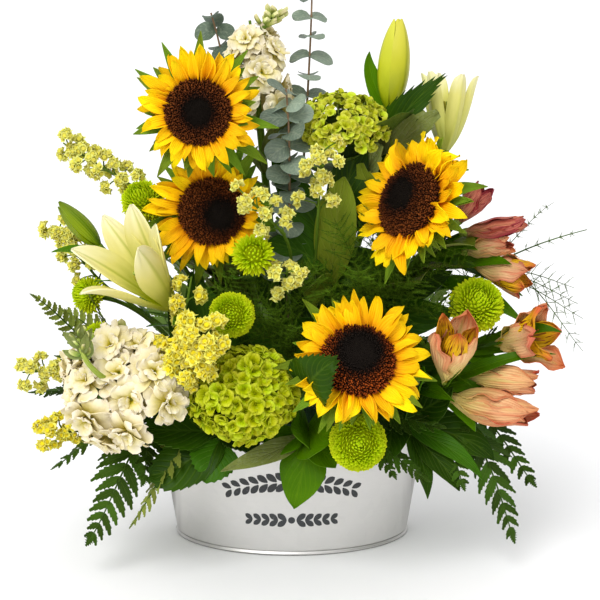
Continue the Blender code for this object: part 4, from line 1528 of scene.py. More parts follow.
class Florist(Chance):
    """Makes the small shapes that many heads share, each once."""

    def __init__(self) -> None:
        """Prepare the shared shapes."""
        self.begin("florist")
        self.stock = [self.stock_floret() for _ in range(4)]
        self.hydrangea = [self.hydrangea_floret() for _ in range(5)]
        self.pom = [self.pom_petal(bend) for bend in (0.15, 0.35, 0.6)]
        self.cups = [self.statice_cup() for _ in range(4)]
        self.bud = Blade(local((0, 0), (0.004, 0), (0.008, 0), (0.012, 0)), 0.003, Outline.OVAL, rows=5,
            thick=0.003, cup=0.3).mesh()

    def stock_floret(self) -> bpy.types.Mesh:
        """A double stock floret of 44 mm: broad ruffled petals round a small yellow-green eye."""
        floret, vary = Cluster(), self.vary
        whorls = ((5, 0.0215, 0.0125, 0.16, 0), (4, 0.017, 0.0108, 0.62, 0.0015),
            (3, 0.0115, 0.0076, 1.05, 0.0028), (2, 0.0066, 0.004, 1.3, 0.003))
        for count, length, half, tilt, rise in whorls:
            for index in range(count):
                spine = local((0, 0), (length * 0.4, length * 0.14), (length * 0.75, length * 0.12),
                    (length, length * vary(-0.42, 0.08)))
                petal = Blade(spine, half * vary(0.85, 1.1), Outline.FRILL, columns=6, rows=6, thick=0.0005,
                    cup=vary(-0.2, 0.3), ruffle=vary(0.12, 0.24), waves=vary(1.4, 2.6), phase=vary(0, 6),
                    notch=vary(0, 0.4), crowd=1.5, twist=vary(-0.25, 0.25)).mesh()
                angle = FULL_TURN * (index + vary(-0.25, 0.25)) / count + length * 300
                place = spoke(angle, 0.0012, rise, tilt + vary(-0.2, 0.25))
                floret.add(petal, place, self.tone())
        throat = local((-0.014, 0), (-0.009, 0), (-0.004, 0), (0.001, 0))
        floret.add(twig(throat, 0.0012, 0.003, 4, 8), GROWN_UP, look=1)
        return settle(floret.whole)

    def hydrangea_floret(self) -> bpy.types.Mesh:
        """A hydrangea floret: four or five rounded, cupped sepals crossed round a small bead."""
        floret, vary = Cluster(), self.vary
        count = self.pick((4, 4, 5))
        for index in range(count):
            length = vary(0.0066, 0.0086)
            spine = local((0, 0), (length * 0.35, length * 0.1), (length * 0.72, length * 0.22),
                (length, length * vary(-0.05, 0.35)))
            sepal = Blade(spine, length * vary(0.52, 0.62), Outline.ROUND, columns=2, rows=4, thick=0.0003,
                cup=vary(0.1, 0.7), crowd=1.3, ripple=0.06, phase=vary(0, 6)).mesh()
            angle = FULL_TURN * (index + vary(-0.12, 0.12)) / count
            floret.add(sepal, spoke(angle, 0.0004, 0, vary(0.05, 0.75)), self.tone())
        floret.add(ball(1, 0.001), Matrix.Translation((0, 0, 0.0009)), 0.1)
        return settle(floret.whole)

    def pom_petal(self, bend: float) -> bpy.types.Mesh:
        """A button chrysanthemum's narrow petal, 10 mm long before it is scaled."""
        spine = local((0, 0), (0.0035, 0.0004), (0.007, 0.004 * bend), (0.01, 0.0095 * bend))
        return Blade(spine, 0.0017, Outline.FINGER, columns=2, rows=3, thick=0.0003, cup=0.9,
            crowd=1.4).mesh()

    def statice_cup(self) -> bpy.types.Mesh:
        """A papery statice cup of 7 mm: a small funnel with a torn rim round a bright flower."""
        cup, vary = Cluster(), self.vary
        funnel = lathe(((0.0005, 0), (0.0018, 0.0022), (0.0034, 0.0036)), 8)
        layers = funnel.verts.layers.float
        for vertex in funnel.verts:
            turn = math.atan2(vertex.co.y, vertex.co.x)
            wide = vertex.co.xy.length / 0.0034
            vertex[layers["along"]] = min(wide, 1)
            vertex[layers["across"]] = math.sin(turn * 4)
            pleat = 1 + wide * (0.09 * math.cos(turn * 4) + vary(-0.15, 0.15))
            vertex.co.xy *= pleat
            vertex.co.z += 0.0009 * wide ** 2 * (math.cos(turn * 4 + 0.4) + vary(-0.9, 0.9))
        bmesh.ops.recalc_face_normals(funnel, faces=funnel.faces[:])
        bmesh.ops.solidify(funnel, geom=funnel.faces[:], thickness=0.0002)
        cup.add(settle(funnel), tone=self.tone())
        star = new_shape()
        bmesh.ops.create_cone(star, cap_ends=True, segments=5, radius1=0.0006, radius2=0.0018, depth=0.0014)
        for index, vertex in enumerate(star.verts):
            vertex.co.z += 0.0006 * (index % 4 < 2)
            vertex[star.verts.layers.float["along"]] = 0.4
        cup.add(settle(star), Matrix.Translation((0, 0, 0.003)), self.tone())
        return settle(cup.whole)


@dataclass
class StockHead(Head):
    """A broad stock head cut short: ruffled florets over a dome, buds and a downy stalk on one side.

    Attributes:
        size: The dome's radius.
        height: Its height.
        florets: Number of florets.
        buds: Number of buds beside them.
        shoots: Number of downy leaves on the stalk.
    """

    size: float
    height: float
    florets: int = 15
    buds: int = 12
    shoots: int = 9

    def build(self, florist: Florist) -> None:
        """Make the florets, then the stalk with its buds and leaves."""
        vary, head, size = self.vary, self.head, self.size
        bloom, green, stem = Cluster(), Cluster(), self.stem(self.height * 0.75, STOUT)
        branches = []
        for index in range(self.florets):
            share = math.sqrt((index + 0.35) / self.florets)
            angle = index * GOLDEN_ANGLE + 0.9
            way = bearing(angle, share * 1.62)
            spot = way * Vector((size * 0.84, size * 0.8, self.height * 0.66)) * vary(0.7, 1.14)
            tilt = way + Vector((vary(-0.5, 0.5), vary(-0.5, 0.5), 0.35))
            place = head @ aim(spot, tilt, vary(0, FULL_TURN))
            bloom.add(self.pick(florist.stock), place @ scaled(vary(0.82, 1)), None, self.tone())
            reach = share * 0.7 * size
            end = head @ Vector((math.cos(angle) * reach, math.sin(angle) * reach, self.height * 0.25))
            branches.append(Curve.between(stem.end, self.facing, end, end - stem.end))
        self.done(bloom, "florets", Slot.STOCK, STOCK_PETAL, STALK_PALE)
        green.add(stem.mesh(0.9), tone=self.tone())
        for branch in branches:
            green.add(twig(branch, 0.0014, 0.0011, 4, 5), tone=self.tone())
        for _ in range(self.buds):
            angle = vary(1.7, 2.9)
            spot = head @ Vector((math.cos(angle) * size * vary(0.65, 0.98), math.sin(angle) * size
                * vary(0.65, 0.98), self.height * vary(-0.1, 0.5)))
            place = aim(spot, (spot - self.centre).normalized() + UP * 0.3) @ GROWN_UP
            green.add(florist.bud, place @ scaled(vary(0.6, 1)), self.tone(), look=1)
        self.bear(green, stem, self.sprout(stem, 6, 0.065, 0.0085, 0.3, 0.95, outline=Outline.LANCE), 2)
        self.shoot(green, florist.bud)
        self.done(green, "green", Slot.LEAF, STALK_PALE, STOCK_BUD, OLIVE, UNDERSIDE)

    def shoot(self, green: Cluster, bud: bpy.types.Mesh) -> None:
        """Add the spike's own end: a pale stalk across the florets with downy leaves and buds."""
        size = Vector((self.size, self.size, self.height))
        across = Curve(*(self.head @ (Vector(point) * size) for point in ((-0.02, 0, 0.7), (-0.06, 0.1, 1.24),
            (-0.3, 0.3, 1.34), (-0.4, 0.62, 1.22))))
        green.add(twig(across, 0.0024, 0.0016, 12, 8), tone=0.6)
        for index in range(self.shoots):
            point, slope = across.at(0.5 + 0.055 * index)
            way = (beside(slope, index * GOLDEN_ANGLE) + slope * 0.7 + UP * 0.4).normalized()
            spine = Curve.between(point, way, point + way * self.vary(0.013, 0.022), way + UP * 0.5)
            green.add(Blade(spine, 0.0036, Outline.LANCE, FRONT, thick=0.0008, fold=0.2,
                twist=self.vary(-0.6, 0.6)).mesh(), tone=self.tone(), look=3)
            place = aim(point + way * 0.004, way) @ GROWN_UP @ scaled(self.vary(0.55, 0.85))
            green.add(bud, place, self.tone(), look=1)


@dataclass
class StockSpike(Spire):
    """A tall stock spike: florets set round an upright stem, under a crown of green buds.

    Attributes:
        crown: Where the buds end.
        width: Radius of the spike at its base.
        florets: Number of florets.
        buds: Number of buds.
    """

    crown: Triple
    width: float
    florets: int = 14
    buds: int = 20

    def build(self, florist: Florist) -> None:
        """Make the florets round their stem, then the crown."""
        vary, facing = self.vary, self.facing
        bloom, green, stem = Cluster(), Cluster(), self.stem(STOUT)
        green.add(stem.mesh(0.9))
        axis = Curve.between(self.base, facing, self.tip, facing)
        green.add(twig(axis, 0.0031, 0.0012))
        for index in range(self.florets):
            share = (index + 0.3) / self.florets
            point, slope = axis.at(share * 0.92 - 0.06)
            around = beside(facing, index * GOLDEN_ANGLE)
            size = (0.88 - 0.3 * share) * vary(0.9, 1.12)
            spot = point + around * (self.width * (0.8 - 0.34 * share))
            way = around + slope * (0.05 + 0.9 * share * share) + FRONT * 0.15
            bloom.add(self.pick(florist.stock), aim(spot, way, vary(0, 6)) @ scaled(size), None, self.tone())
        start, slope = axis.at(0.72)
        top = Curve.between(start, slope, Vector(self.crown), slope + RIGHT * 0.3)
        green.add(twig(top, 0.0022, 0.0014, 8), tone=0.6)
        for index in range(self.buds):
            point, slope = top.at(0.44 + 0.56 * index / self.buds)
            way = (beside(facing, index * GOLDEN_ANGLE) * 1.1 + slope).normalized()
            place = aim(point + way * 0.003, way) @ GROWN_UP
            green.add(florist.bud, place @ scaled(vary(0.65, 1)), self.tone(), look=1)
        self.bear(green, stem, self.sprout(stem, 6, 0.06, 0.007, 0.35, 0.9, outline=Outline.LANCE), 2)
        self.done(bloom, "florets", Slot.STOCK, STOCK_PETAL, STALK_PALE)
        self.done(green, "green", Slot.LEAF, STALK, STOCK_BUD, OLIVE)


@dataclass
class Hydrangea(Head):
    """A green hydrangea: florets on branching stalks, crowded into a dome or in loose bunches.

    Attributes:
        size: The dome's radius.
        height: Its height.
        flat: Its width across, as a share of the width along.
        florets: Number of florets.
        bunches: Number of loose bunches, or 0 for a closed dome.
    """

    size: float
    height: float
    flat: float
    florets: int
    bunches: int = 0

    def spots(self) -> list[tuple[Vector, Vector]]:
        """Every floret's place and the way it looks, in the head's own frame."""
        heads = self.bunches or self.florets
        reach, low, high = (1.5, 0.8, 0.96) if self.bunches else (1.72, 0.84, 1.02)
        size = Vector((self.size, self.size, self.height * 0.8))
        spots = []
        for head in range(heads):
            way = bearing(head * GOLDEN_ANGLE + 0.4, math.sqrt((head + 0.5) / heads) * reach)
            way.y *= self.flat
            middle = way * size * self.vary(low, high)
            if not self.bunches:
                spots.append((middle, way))
                continue
            per = self.florets // heads
            for index in range(per):
                angle = index * GOLDEN_ANGLE + head
                out = 0.0088 * math.sqrt((index + 0.3) / per)
                offset = aim(Vector(), way) @ Vector((math.cos(angle) * out, math.sin(angle) * out,
                    0.004 - out * 0.4))
                spots.append((middle + offset, way + offset * 60))
        return spots

    def build(self, florist: Florist) -> None:
        """Make the florets, then the stalks and leaves."""
        vary, loose = self.vary, self.bunches > 0
        bloom, green, stem = Cluster(), Cluster(), self.stem(self.height * 0.75, STOUT)
        green.add(stem.mesh(0.95), tone=self.tone())
        # A dark green ball inside the head, painted shade that fills the gaps between the florets.
        shape = Matrix.Diagonal((self.size, self.size * self.flat, self.height * 0.74, 1))
        green.add(ball(3, 0.64 if loose else 0.84), self.head @ shape, 0.2, look=1)
        for index, (spot, way) in enumerate(self.spots()):
            tilt = way + Vector((vary(-0.5, 0.5), vary(-0.5, 0.5), 0.2))
            place = self.head @ aim(spot, tilt, vary(0, FULL_TURN))
            scale = vary(0.8, 1.12) * (0.72 if loose else 1)
            bloom.add(self.pick(florist.hydrangea), place @ scaled(scale), None, self.tone())
            if index % (3 if loose else 2) == 0:
                end = self.head @ (spot * 0.97)
                branch = Curve.between(stem.end, self.facing, end, end - stem.end)
                green.add(twig(branch, 0.0011, 0.0006, 4, 4), tone=self.tone())
        self.done(bloom, "florets", Slot.HYDRANGEA, SEPAL_PALE if loose else SEPAL)
        self.bear(green, stem, self.sprout(stem, 4, 0.058, 0.022, 0.3, 0.85, teeth=0.05), 2)
        self.done(green, "green", Slot.LEAF, STALK_PALE, SHADE_GREEN, DEEP)


@dataclass
class Pom(Head):
    """A green button chrysanthemum: narrow petals packed into a near ball.

    Attributes:
        size: The ball's radius.
        petals: Number of petals.
        shag: How far the outer petals stand out, as a share of the radius.
    """

    size: float
    petals: int
    shag: float = 0.3

    def build(self, florist: Florist) -> None:
        """Make the head and its stem as one piece."""
        size, vary, stem = self.size, self.vary, self.stem(self.size * 0.85, 0.0022)
        head = aim(self.centre - self.facing * size * 0.25, self.facing)
        pom = Cluster()
        pom.add(ball(3, size * (0.84 - 0.8 * self.shag)), head, 0.1)
        for index in range(self.petals):
            share = (index + 0.5) / self.petals
            polar = math.acos(1 - 1.46 * share ** 1.1)
            shag = self.shag * min(share * 1.5, 1)
            spot = bearing(index * GOLDEN_ANGLE, polar) * (size * (0.76 - 0.9 * shag))
            length = size * (0.2 + shag) * vary(0.88, 1.08) / 0.01
            turn = math.atan2(spot.y, spot.x) - RIGHT_ANGLE
            place = (head @ spoke(turn, spot.xy.length, spot.z, RIGHT_ANGLE - polar + vary(-0.12, 0.12))
                @ Matrix.Rotation(vary(-0.3, 0.3), 4, "Y"))
            width = size / 0.026 * (0.62 + 0.45 * min(share * 2.2, 1))
            shape = florist.pom[0 if share > 0.6 else 1 if share > 0.25 else 2]
            pom.add(shape, place @ Matrix.Diagonal((width, length, length, 1)), 1 - share * 0.8
                + vary(-0.2, 0.2), share)
        pom.add(stem.mesh(0.9, sides=6), look=1)
        self.bear(pom, stem, self.sprout(stem, 2, 0.038, 0.011, 0.35, 0.8, teeth=0.3, rows=12), 2)
        pom.piece(self.name.replace("pom", "button_flower"), Slot.POM, (POM_PETAL, STALK, DEEP), self.name)


@dataclass
class Statice(Spire):
    """A statice spray: papery cups in small combs along winged green branches.

    Attributes:
        width: How far the combs stand off the branch.
        heads: Number of combs.
        cups: Number of cups in each.
        size: Size of the cups.
        bright: Whether it is the brighter kind.
        arm: Where its second branch ends, if it has one.
        arm_heads: Number of combs on that.
    """

    width: float
    heads: int
    cups: int = 10
    size: float = 1
    bright: bool = False
    arm: Triple | None = None
    arm_heads: int = 7

    def build(self, florist: Florist) -> None:
        """Make the branches and their combs of cups."""
        spray = Cluster()
        spray.add(self.stem(0.0014).mesh(0.9, sides=5), look=1)
        self.branch(spray, self.tip, self.heads, florist)
        if self.arm:
            self.branch(spray, Vector(self.arm), self.arm_heads, florist)
        self.done(spray, "spray", Slot.STATICE, PAPER_BRIGHT if self.bright else PAPER, STALK)

    def branch(self, spray: Cluster, tip: Vector, heads: int, florist: Florist) -> None:
        """Add one branch with its combs of cups.

        Args:
            spray: Where it goes.
            tip: Its end.
            heads: Number of combs.
            florist: Maker of the shared cups.
        """
        vary = self.vary
        facing = (tip - self.base).normalized()
        axis = Curve.between(self.base - self.facing * 0.01, facing, tip, facing)
        spray.add(twig(axis, 0.0013, 0.0007, 5, 5), look=1)
        for index in range(heads):
            point, slope = axis.at((index + 0.2) / heads * 0.9)
            around = (beside(facing, index * GOLDEN_ANGLE) + FRONT * 0.35 + UP * 0.25).normalized()
            spot = point + around * self.width * vary(0.25, 1) + slope * 0.006
            spray.add(twig(Curve.between(point, slope, spot, around), 0.0007, 0.0006, 3, 4), tone=self.tone(),
                look=1)
            head = aim(spot, around + slope * 0.4)
            for cup in range(self.cups):
                way = bearing(cup * GOLDEN_ANGLE + index, 1.5 * math.sqrt((cup + 0.3) / self.cups))
                place = head @ aim(way * self.size * vary(0.0008, 0.0032), way, vary(0, 6))
                spray.add(self.pick(florist.cups), place @ scaled(self.size * vary(0.75, 1.15)), None,
                    self.tone())


@dataclass(frozen=True)
class Floret:
    """One Peruvian lily flower.

    Attributes:
        base: Where it starts.
        mouth: Middle of its mouth.
        width: Radius of the mouth.
    """

    base: Triple
    mouth: Triple
    width: float


@dataclass
class PeruvianLily(Plant):
    """A Peruvian lily stem with one or two funnel flowers and twisted strap leaves.

    Attributes:
        florets: Its flowers, the main stem's first.
        leaves: Its long leaves.
        dusky: Whether its flowers have darkened with age.
    """

    florets: tuple[Floret, ...]
    leaves: tuple[SideLeaf, ...]
    dusky: bool = False

    def tepal(self, length: float, width: float, inner: bool) -> bpy.types.Mesh:
        """One tepal of a funnel that grows along +Z, standing on its -Y side.

        Args:
            length: From the flower's base to its mouth.
            width: Radius of the mouth.
            inner: Whether it is one of the three narrow, flecked ones.

        Returns:
            The tepal.
        """
        vary = self.vary
        open_ = min(max((width / length - 0.3) / 0.45, 0), 1)
        out = width * (0.8 if inner else 1) * vary(0.9, 1.1)
        reach = length * (1.04 if inner else 0.98) * vary(0.9, 1.06)
        tip = out * (0.62 + 0.6 * open_) * vary(0.8, 1.2)
        spine = Curve(Vector((0, -0.0028, 0)), Vector((0, -0.0036 - out * 0.3, reach * 0.3)),
            Vector((0, -out * (1.05 - 0.45 * open_), reach * 0.72)), Vector((vary(-0.1, 0.1) * width, -tip,
            reach * (1 - 0.1 * open_))))
        half = min(length * (0.155 if inner else 0.225), width * 1.1) + width * 0.16 * open_
        return Blade(spine, half, Outline.TEPAL if inner else Outline.OVAL, Vector((0, 1, 0.3)), columns=8,
            rows=14, thick=0.0005, cup=0.5 - 0.25 * open_, fold=vary(0, 0.3), ripple=vary(0.1, 0.22) + 0.14
            * open_, waves=2.6, phase=vary(0, 6), ruffle=0.08 + 0.14 * open_, notch=vary(-0.3, 0.2),
            twist=vary(-0.5, 0.5)).mesh()

    def flower(self, floret: Floret, facing: Vector, bloom: Cluster, green: Cluster) -> None:
        """Add one flower.

        Args:
            floret: The flower.
            facing: The way it looks.
            bloom: Where its tepals and stamens go.
            green: Where its ovary goes.
        """
        base = Vector(floret.base)
        length = (Vector(floret.mouth) - base).length
        head = aim(base, facing, self.vary(-0.4, 0.4))
        ovary = local((-0.006, 0), (-0.002, 0), (0.002, 0), (0.006, 0)).spots(evenly(6), UP)
        radii = [0.0014, 0.0026, 0.0035, 0.0038, 0.0034, 0.0026, 0.0012]
        green.add(tube(ovary, radii, 9), head @ GROWN_UP, self.tone(), look=1)
        for index in range(6):
            inner = index % 2 == 1
            turn = FULL_TURN * index / 6 + 0.3 + self.vary(-0.1, 0.1)
            bloom.add(self.tepal(length, floret.width, inner), head @ Matrix.Rotation(turn, 4, "Z"),
                self.tone(), look=int(inner and floret.width > length * 0.37))
        stamen = local((0, 0.001), (0.3 * length, 0.001), (0.6 * length, 0.003), (0.82 * length, 0.006))
        for index in range(5):
            turn = Matrix.Rotation(FULL_TURN * index / 5, 4, "Z")
            bloom.add(twig(stamen, 0.0005, 0.0005, 6, 4), head @ turn @ GROWN_UP)

    def build(self) -> None:
        """Make the flowers, then the stems and leaves."""
        bloom, green = Cluster(), Cluster()
        stem: Stem | None = None
        for floret in self.florets:
            base = Vector(floret.base)
            facing = (Vector(floret.mouth) - base).normalized()
            if stem:
                start, slope = stem.at(0.45)
                green.add(twig(Curve.between(start, slope, base, facing), 0.0015, 0.0013, 10), tone=0.4)
            else:
                stem = Stem.planted(self.entry, base, facing, 0.002)
                green.add(stem.mesh(0.9, sides=6), tone=self.tone())
            self.flower(floret, facing, bloom, green)
        self.done(bloom, "flowers", Slot.SALMON, SALMON_DUSKY if self.dusky else SALMON_OUTER, SALMON_INNER)
        self.bear(green, stem, self.leaves, 2)
        wild = self.sprout(stem, 3, 0.055, 0.0065, 0.25, 0.7, outline=Outline.LANCE, twist=2)
        self.bear(green, stem, wild, 2)
        self.done(green, "green", Slot.LEAF, STALK_DARK, STALK_PALE, GLOSSY)


# ---- greenery ----


@dataclass
class Eucalyptus(Greenery):
    """A eucalyptus branch: a tan twig with round silver leaves in crossed pairs.

    Attributes:
        leaf: Half-width of its lowest leaves.
        pairs: Number of leaf pairs.
        start: Share of the stem that bears the lowest pair.
        shrink: How much smaller the last pair is.
        droop: How far the leaves hang below level.
        show: How much they turn their faces to the front.
        finish: The leaves' finish.
    """

    leaf: float
    pairs: int
    start: float
    shrink: float
    droop: float
    show: float
    finish: LeafFinish = SILVER

    def build(self) -> None:
        """Make the twig with its leaves."""
        vary, stem = self.vary, self.stem(0.0016)
        branch = Cluster()
        branch.add(stem.mesh(0.45, sides=6))
        for pair in range(self.pairs):
            share = pair / (self.pairs - 1)
            point, slope = stem.at(self.start + (0.985 - self.start) * share)
            size = self.leaf * (1 - self.shrink * share ** 1.3)
            across = Matrix.Rotation(pair * 1.62 + vary(-0.3, 0.3), 3, slope) @ RIGHT
            for way in (across, -across):
                half = size * vary(0.85, 1.1)
                out = (way - slope * (self.droop + vary(-0.3, 0.3))).normalized()
                tip = point + out * half * vary(1.9, 2.2)
                spine = Curve.between(point, way + slope * 0.4, tip, out - slope * 0.25, 0.3, 0.3)
                leaf = Blade(spine, half, Outline.ROUND, slope * 0.5 + FRONT * self.show, columns=6, rows=9,
                    thick=0.0005, cup=vary(-0.1, 0.3), fold=0.08, ripple=0.04, waves=1, crowd=1.5,
                    phase=vary(0, 6), notch=vary(-0.2, 0.1), twist=vary(-0.3, 0.3))
                branch.add(leaf.mesh(), tone=self.tone(), look=1)
        self.done(branch, "branch", Slot.SILVER, TWIG_TAN, self.finish)


@dataclass(frozen=True)
class Frond:
    """One leatherleaf frond.

    Attributes:
        lean: The way that its stalk leaves the foam.
        tip: Its end.
        tip_way: The way that its end points.
        half: Half its width.
        pairs: Number of leaflet pairs.
        start: Share of the stalk that bears the lowest pair.
        upper: The direction that its upper side looks to.
    """

    lean: Triple
    tip: Triple
    tip_way: Triple
    half: float
    pairs: int
    start: float
    upper: Triple


@dataclass
class Fern(Plant):
    """Leatherleaf fern: one or more fronds that leave the foam together.

    Attributes:
        fronds: Its fronds.
        finish: The leaflets' finish.
    """

    fronds: tuple[Frond, ...]
    finish: LeafFinish = FERN

    def grow(self, whole: Cluster, frond: Frond) -> None:
        """Add a frond: the stalk, its leaflets and the fused tip."""
        vary, start, pairs = self.vary, frond.start, frond.pairs
        stem = Stem.set_in(self.entry, frond.lean, frond.tip, frond.tip_way, 0.0013, SIDE_DEPTH)
        whole.add(stem.mesh(0.35, sides=5))
        shares = [start + (0.96 - start) * (pair / pairs) ** 0.9 for pair in range(pairs)]
        spots = stem.curve().spots([0, *shares], Vector(frond.upper))[1:]
        for pair, spot in enumerate(spots):
            rest = 1 - pair / pairs
            for way in (-1, 1):
                length = frond.half * (0.14 + 1.1 * rest ** 0.85) * vary(0.86, 1.08)
                out = (spot.side * way + spot.slope * 0.95).normalized()
                tip = spot.point + out * length + spot.normal * length * vary(-0.2, 0.06)
                spine = Curve.between(spot.point, out, tip, out + spot.slope * 0.45, 0.35, 0.35)
                leaflet = Blade(spine, 0.0013 + length * 0.128, Outline.LEAFLET, spot.normal, columns=2,
                    rows=2 * max(round(length / 0.0044), 4), fold=0.25, teeth=0.24, ripple=0.1, waves=1.5,
                    phase=vary(0, 6))
                whole.add(leaflet.mesh(), tone=self.tone(), look=1)
        last = spots[-1]
        spine = Curve.between(last.point, last.slope, stem.end, stem.facing, 0.35, 0.35)
        whole.add(Blade(spine, frond.half * 0.16, Outline.LEAFLET, last.normal, columns=2, rows=14, fold=0.2,
            teeth=0.5).mesh(), look=1)

    def build(self) -> None:
        """Make the fronds as one piece."""
        whole = Cluster()
        for frond in self.fronds:
            self.grow(whole, frond)
        self.done(whole, "fronds", Slot.FERN, STALK_DARK, self.finish)


@dataclass
class Plume(Greenery):
    """Asparagus fern: fine wiry fronds whose branchlets are fringed with soft needles.

    Attributes:
        half: Half the width of the frond at the stem's end.
        upper: The direction that its upper side looks to.
        start: Share of the stem that bears its lowest branch.
        sprays: The other fronds, as (share of the stem, tip, half-width).
        branches: Number of branch pairs on a frond.
        crowd: How close the branchlets stand.
        tuft: Size of the branchlets.
    """

    half: float
    upper: Triple
    start: float
    sprays: tuple[tuple[float, Triple, float], ...]
    branches: int = 13
    crowd: float = 1
    tuft: float = 1

    def branchlet(self) -> bpy.types.Mesh:
        """A 10 mm branchlet along +Y with needles all round it."""
        whole, count = Cluster(), 14
        stalk = local((0, 0), (0.0033, 0.0004), (0.0066, 0.0004), (0.01, 0))
        whole.add(twig(stalk, 0.00022, 0.00012, 2, 3))
        for index in range(count):
            share = (index + 0.5) / count
            point, slope = stalk.at(share)
            way = Matrix.Rotation(index * GOLDEN_ANGLE, 3, slope) @ RIGHT * 0.8 + slope * 0.9
            length = 0.0042 * (0.55 + 0.45 * math.sin(math.pi * (0.15 + 0.75 * share)))
            whole.add(spike(0.0003, 0, length, 3), aim(point, way), self.tone())
        return settle(whole.whole)

    def frond(self, plume: Cluster, curve: Curve, half: float, upper: Triple, begin: float,
            shapes: list[bpy.types.Mesh]) -> None:
        """Add one flat, feathery frond along a curve.

        Args:
            plume: Where it goes.
            curve: Its midrib.
            half: Half its width.
            upper: The direction that its upper side looks to.
            begin: Share of the midrib that bears the lowest branch.
            shapes: The branchlets to choose from.
        """
        vary = self.vary
        plume.add(twig(curve, 0.0007, 0.0002, 10, 4), tone=0.4)
        shares = evenly(self.branches, begin, 0.98)[:-1]
        for index, spot in enumerate(curve.spots([0, *shares], Vector(upper))[1:]):
            rest = 1 - index / self.branches
            length = half * (0.22 + 0.85 * math.sin(math.pi * (0.1 + 0.82 * rest)) ** 0.8)
            for way in (-1, 1):
                reach = length * vary(0.75, 1.15)
                out = (spot.side * way * 0.85 + spot.slope * 0.75 + spot.normal
                    * vary(-0.35, 0.35)).normalized()
                branch = Curve.between(spot.point, out, spot.point + out * reach, out + spot.slope * 0.5)
                plume.add(twig(branch, 0.00035, 0.00014, 3, 3), tone=self.tone())
                steps = max(int(reach / 0.0052 * self.crowd), 1)
                for step in range(steps):
                    at, slope = branch.at((step + 0.6) / steps)
                    lean = slope + spot.side * way * vary(-0.7, 0.7) + spot.normal * vary(-0.4, 0.4)
                    place = aim(at, lean) @ Matrix.Rotation(-RIGHT_ANGLE, 4, "X")
                    size = self.tuft * vary(0.65, 1.05) * (1 - 0.3 * step / steps)
                    plume.add(self.pick(shapes), place @ scaled(size), None, self.tone())

    def build(self) -> None:
        """Make the stem and all its fronds as one piece."""
        stem, plume = self.stem(0.0013), Cluster()
        plume.add(stem.mesh(0.3, sides=5))
        shapes = [self.branchlet() for _ in range(3)]
        self.frond(plume, stem.curve(), self.half, self.upper, self.start, shapes)
        for share, tip, half in self.sprays:
            start, slope = stem.at(share)
            tip = Vector(tip)
            curve = Curve.between(start, slope, tip, (tip - start).normalized() - UP * 0.25)
            self.frond(plume, curve, half, (0, -1, 0.4), 0.18, shapes)
        self.done(plume, "fronds", Slot.PLUME, NEEDLE)


@dataclass
class BroadLeaf(Greenery):
    """A single broad leaf on its own stalk.

    Attributes:
        half: Half its width.
        upper: The direction that its upper side looks to.
        start: Share of the stalk where the blade begins.
        depth: Length in the foam.
        outline: Its shape.
        finish: Its finish.
        teeth: Depth of its teeth.
        fold: How far it folds along the midrib.
        more: Smaller leaves on the same stalk.
        others: Leaves on the same stalk in the second finish.
        second: That finish.
        wild: Number of further leaves set round the stalk.
    """

    half: float
    upper: Triple
    start: float
    depth: float
    outline: Outline
    finish: LeafFinish
    teeth: float = 0
    fold: float = 0.2
    more: tuple[SideLeaf, ...] = ()
    others: tuple[SideLeaf, ...] = ()
    second: LeafFinish = UNDERSIDE
    wild: int = 0

    def build(self) -> None:
        """Make the stalk with its blade, and the smaller leaves that share it."""
        leaf, stem = Cluster(), self.stem(0.0016, self.depth)
        leaf.add(stem.mesh(0.7, min(self.start + 0.08, 1), sides=6))
        blade = Blade(stem.curve(), self.half, self.outline, Vector(self.upper), columns=10, rows=26,
            thick=0.0006, cup=-0.1, fold=self.fold, ripple=0.08, waves=2.3, phase=self.vary(0, 6),
            teeth=self.teeth, begin=self.start)
        leaf.add(blade.mesh(), tone=self.tone(), look=1)
        self.bear(leaf, stem, self.more, 1)
        self.bear(leaf, stem, self.others, 2)
        self.bear(leaf, stem, self.sprout(stem, self.wild, 0.06, 0.019, 0.15, 0.8, outline=self.outline), 1)
        self.done(leaf, "blades", Slot.LEAF, STALK_DARK, self.finish, self.second)


# ---- container ----


# Its third colour is the painted shadow of the foot and groove and the painted reflections near the ends.
ZINC = ZincFinish("zinc", (228, 226, 223), (206, 205, 203), (104, 102, 96))
INK = PrintFinish("dark_ink", (52, 54, 56), (120, 122, 124))
FOAM = FoamFinish("floral_foam", (40, 84, 44), (14, 40, 20))
CLEAR = PlasticFinish("clear_plastic", (236, 244, 244))


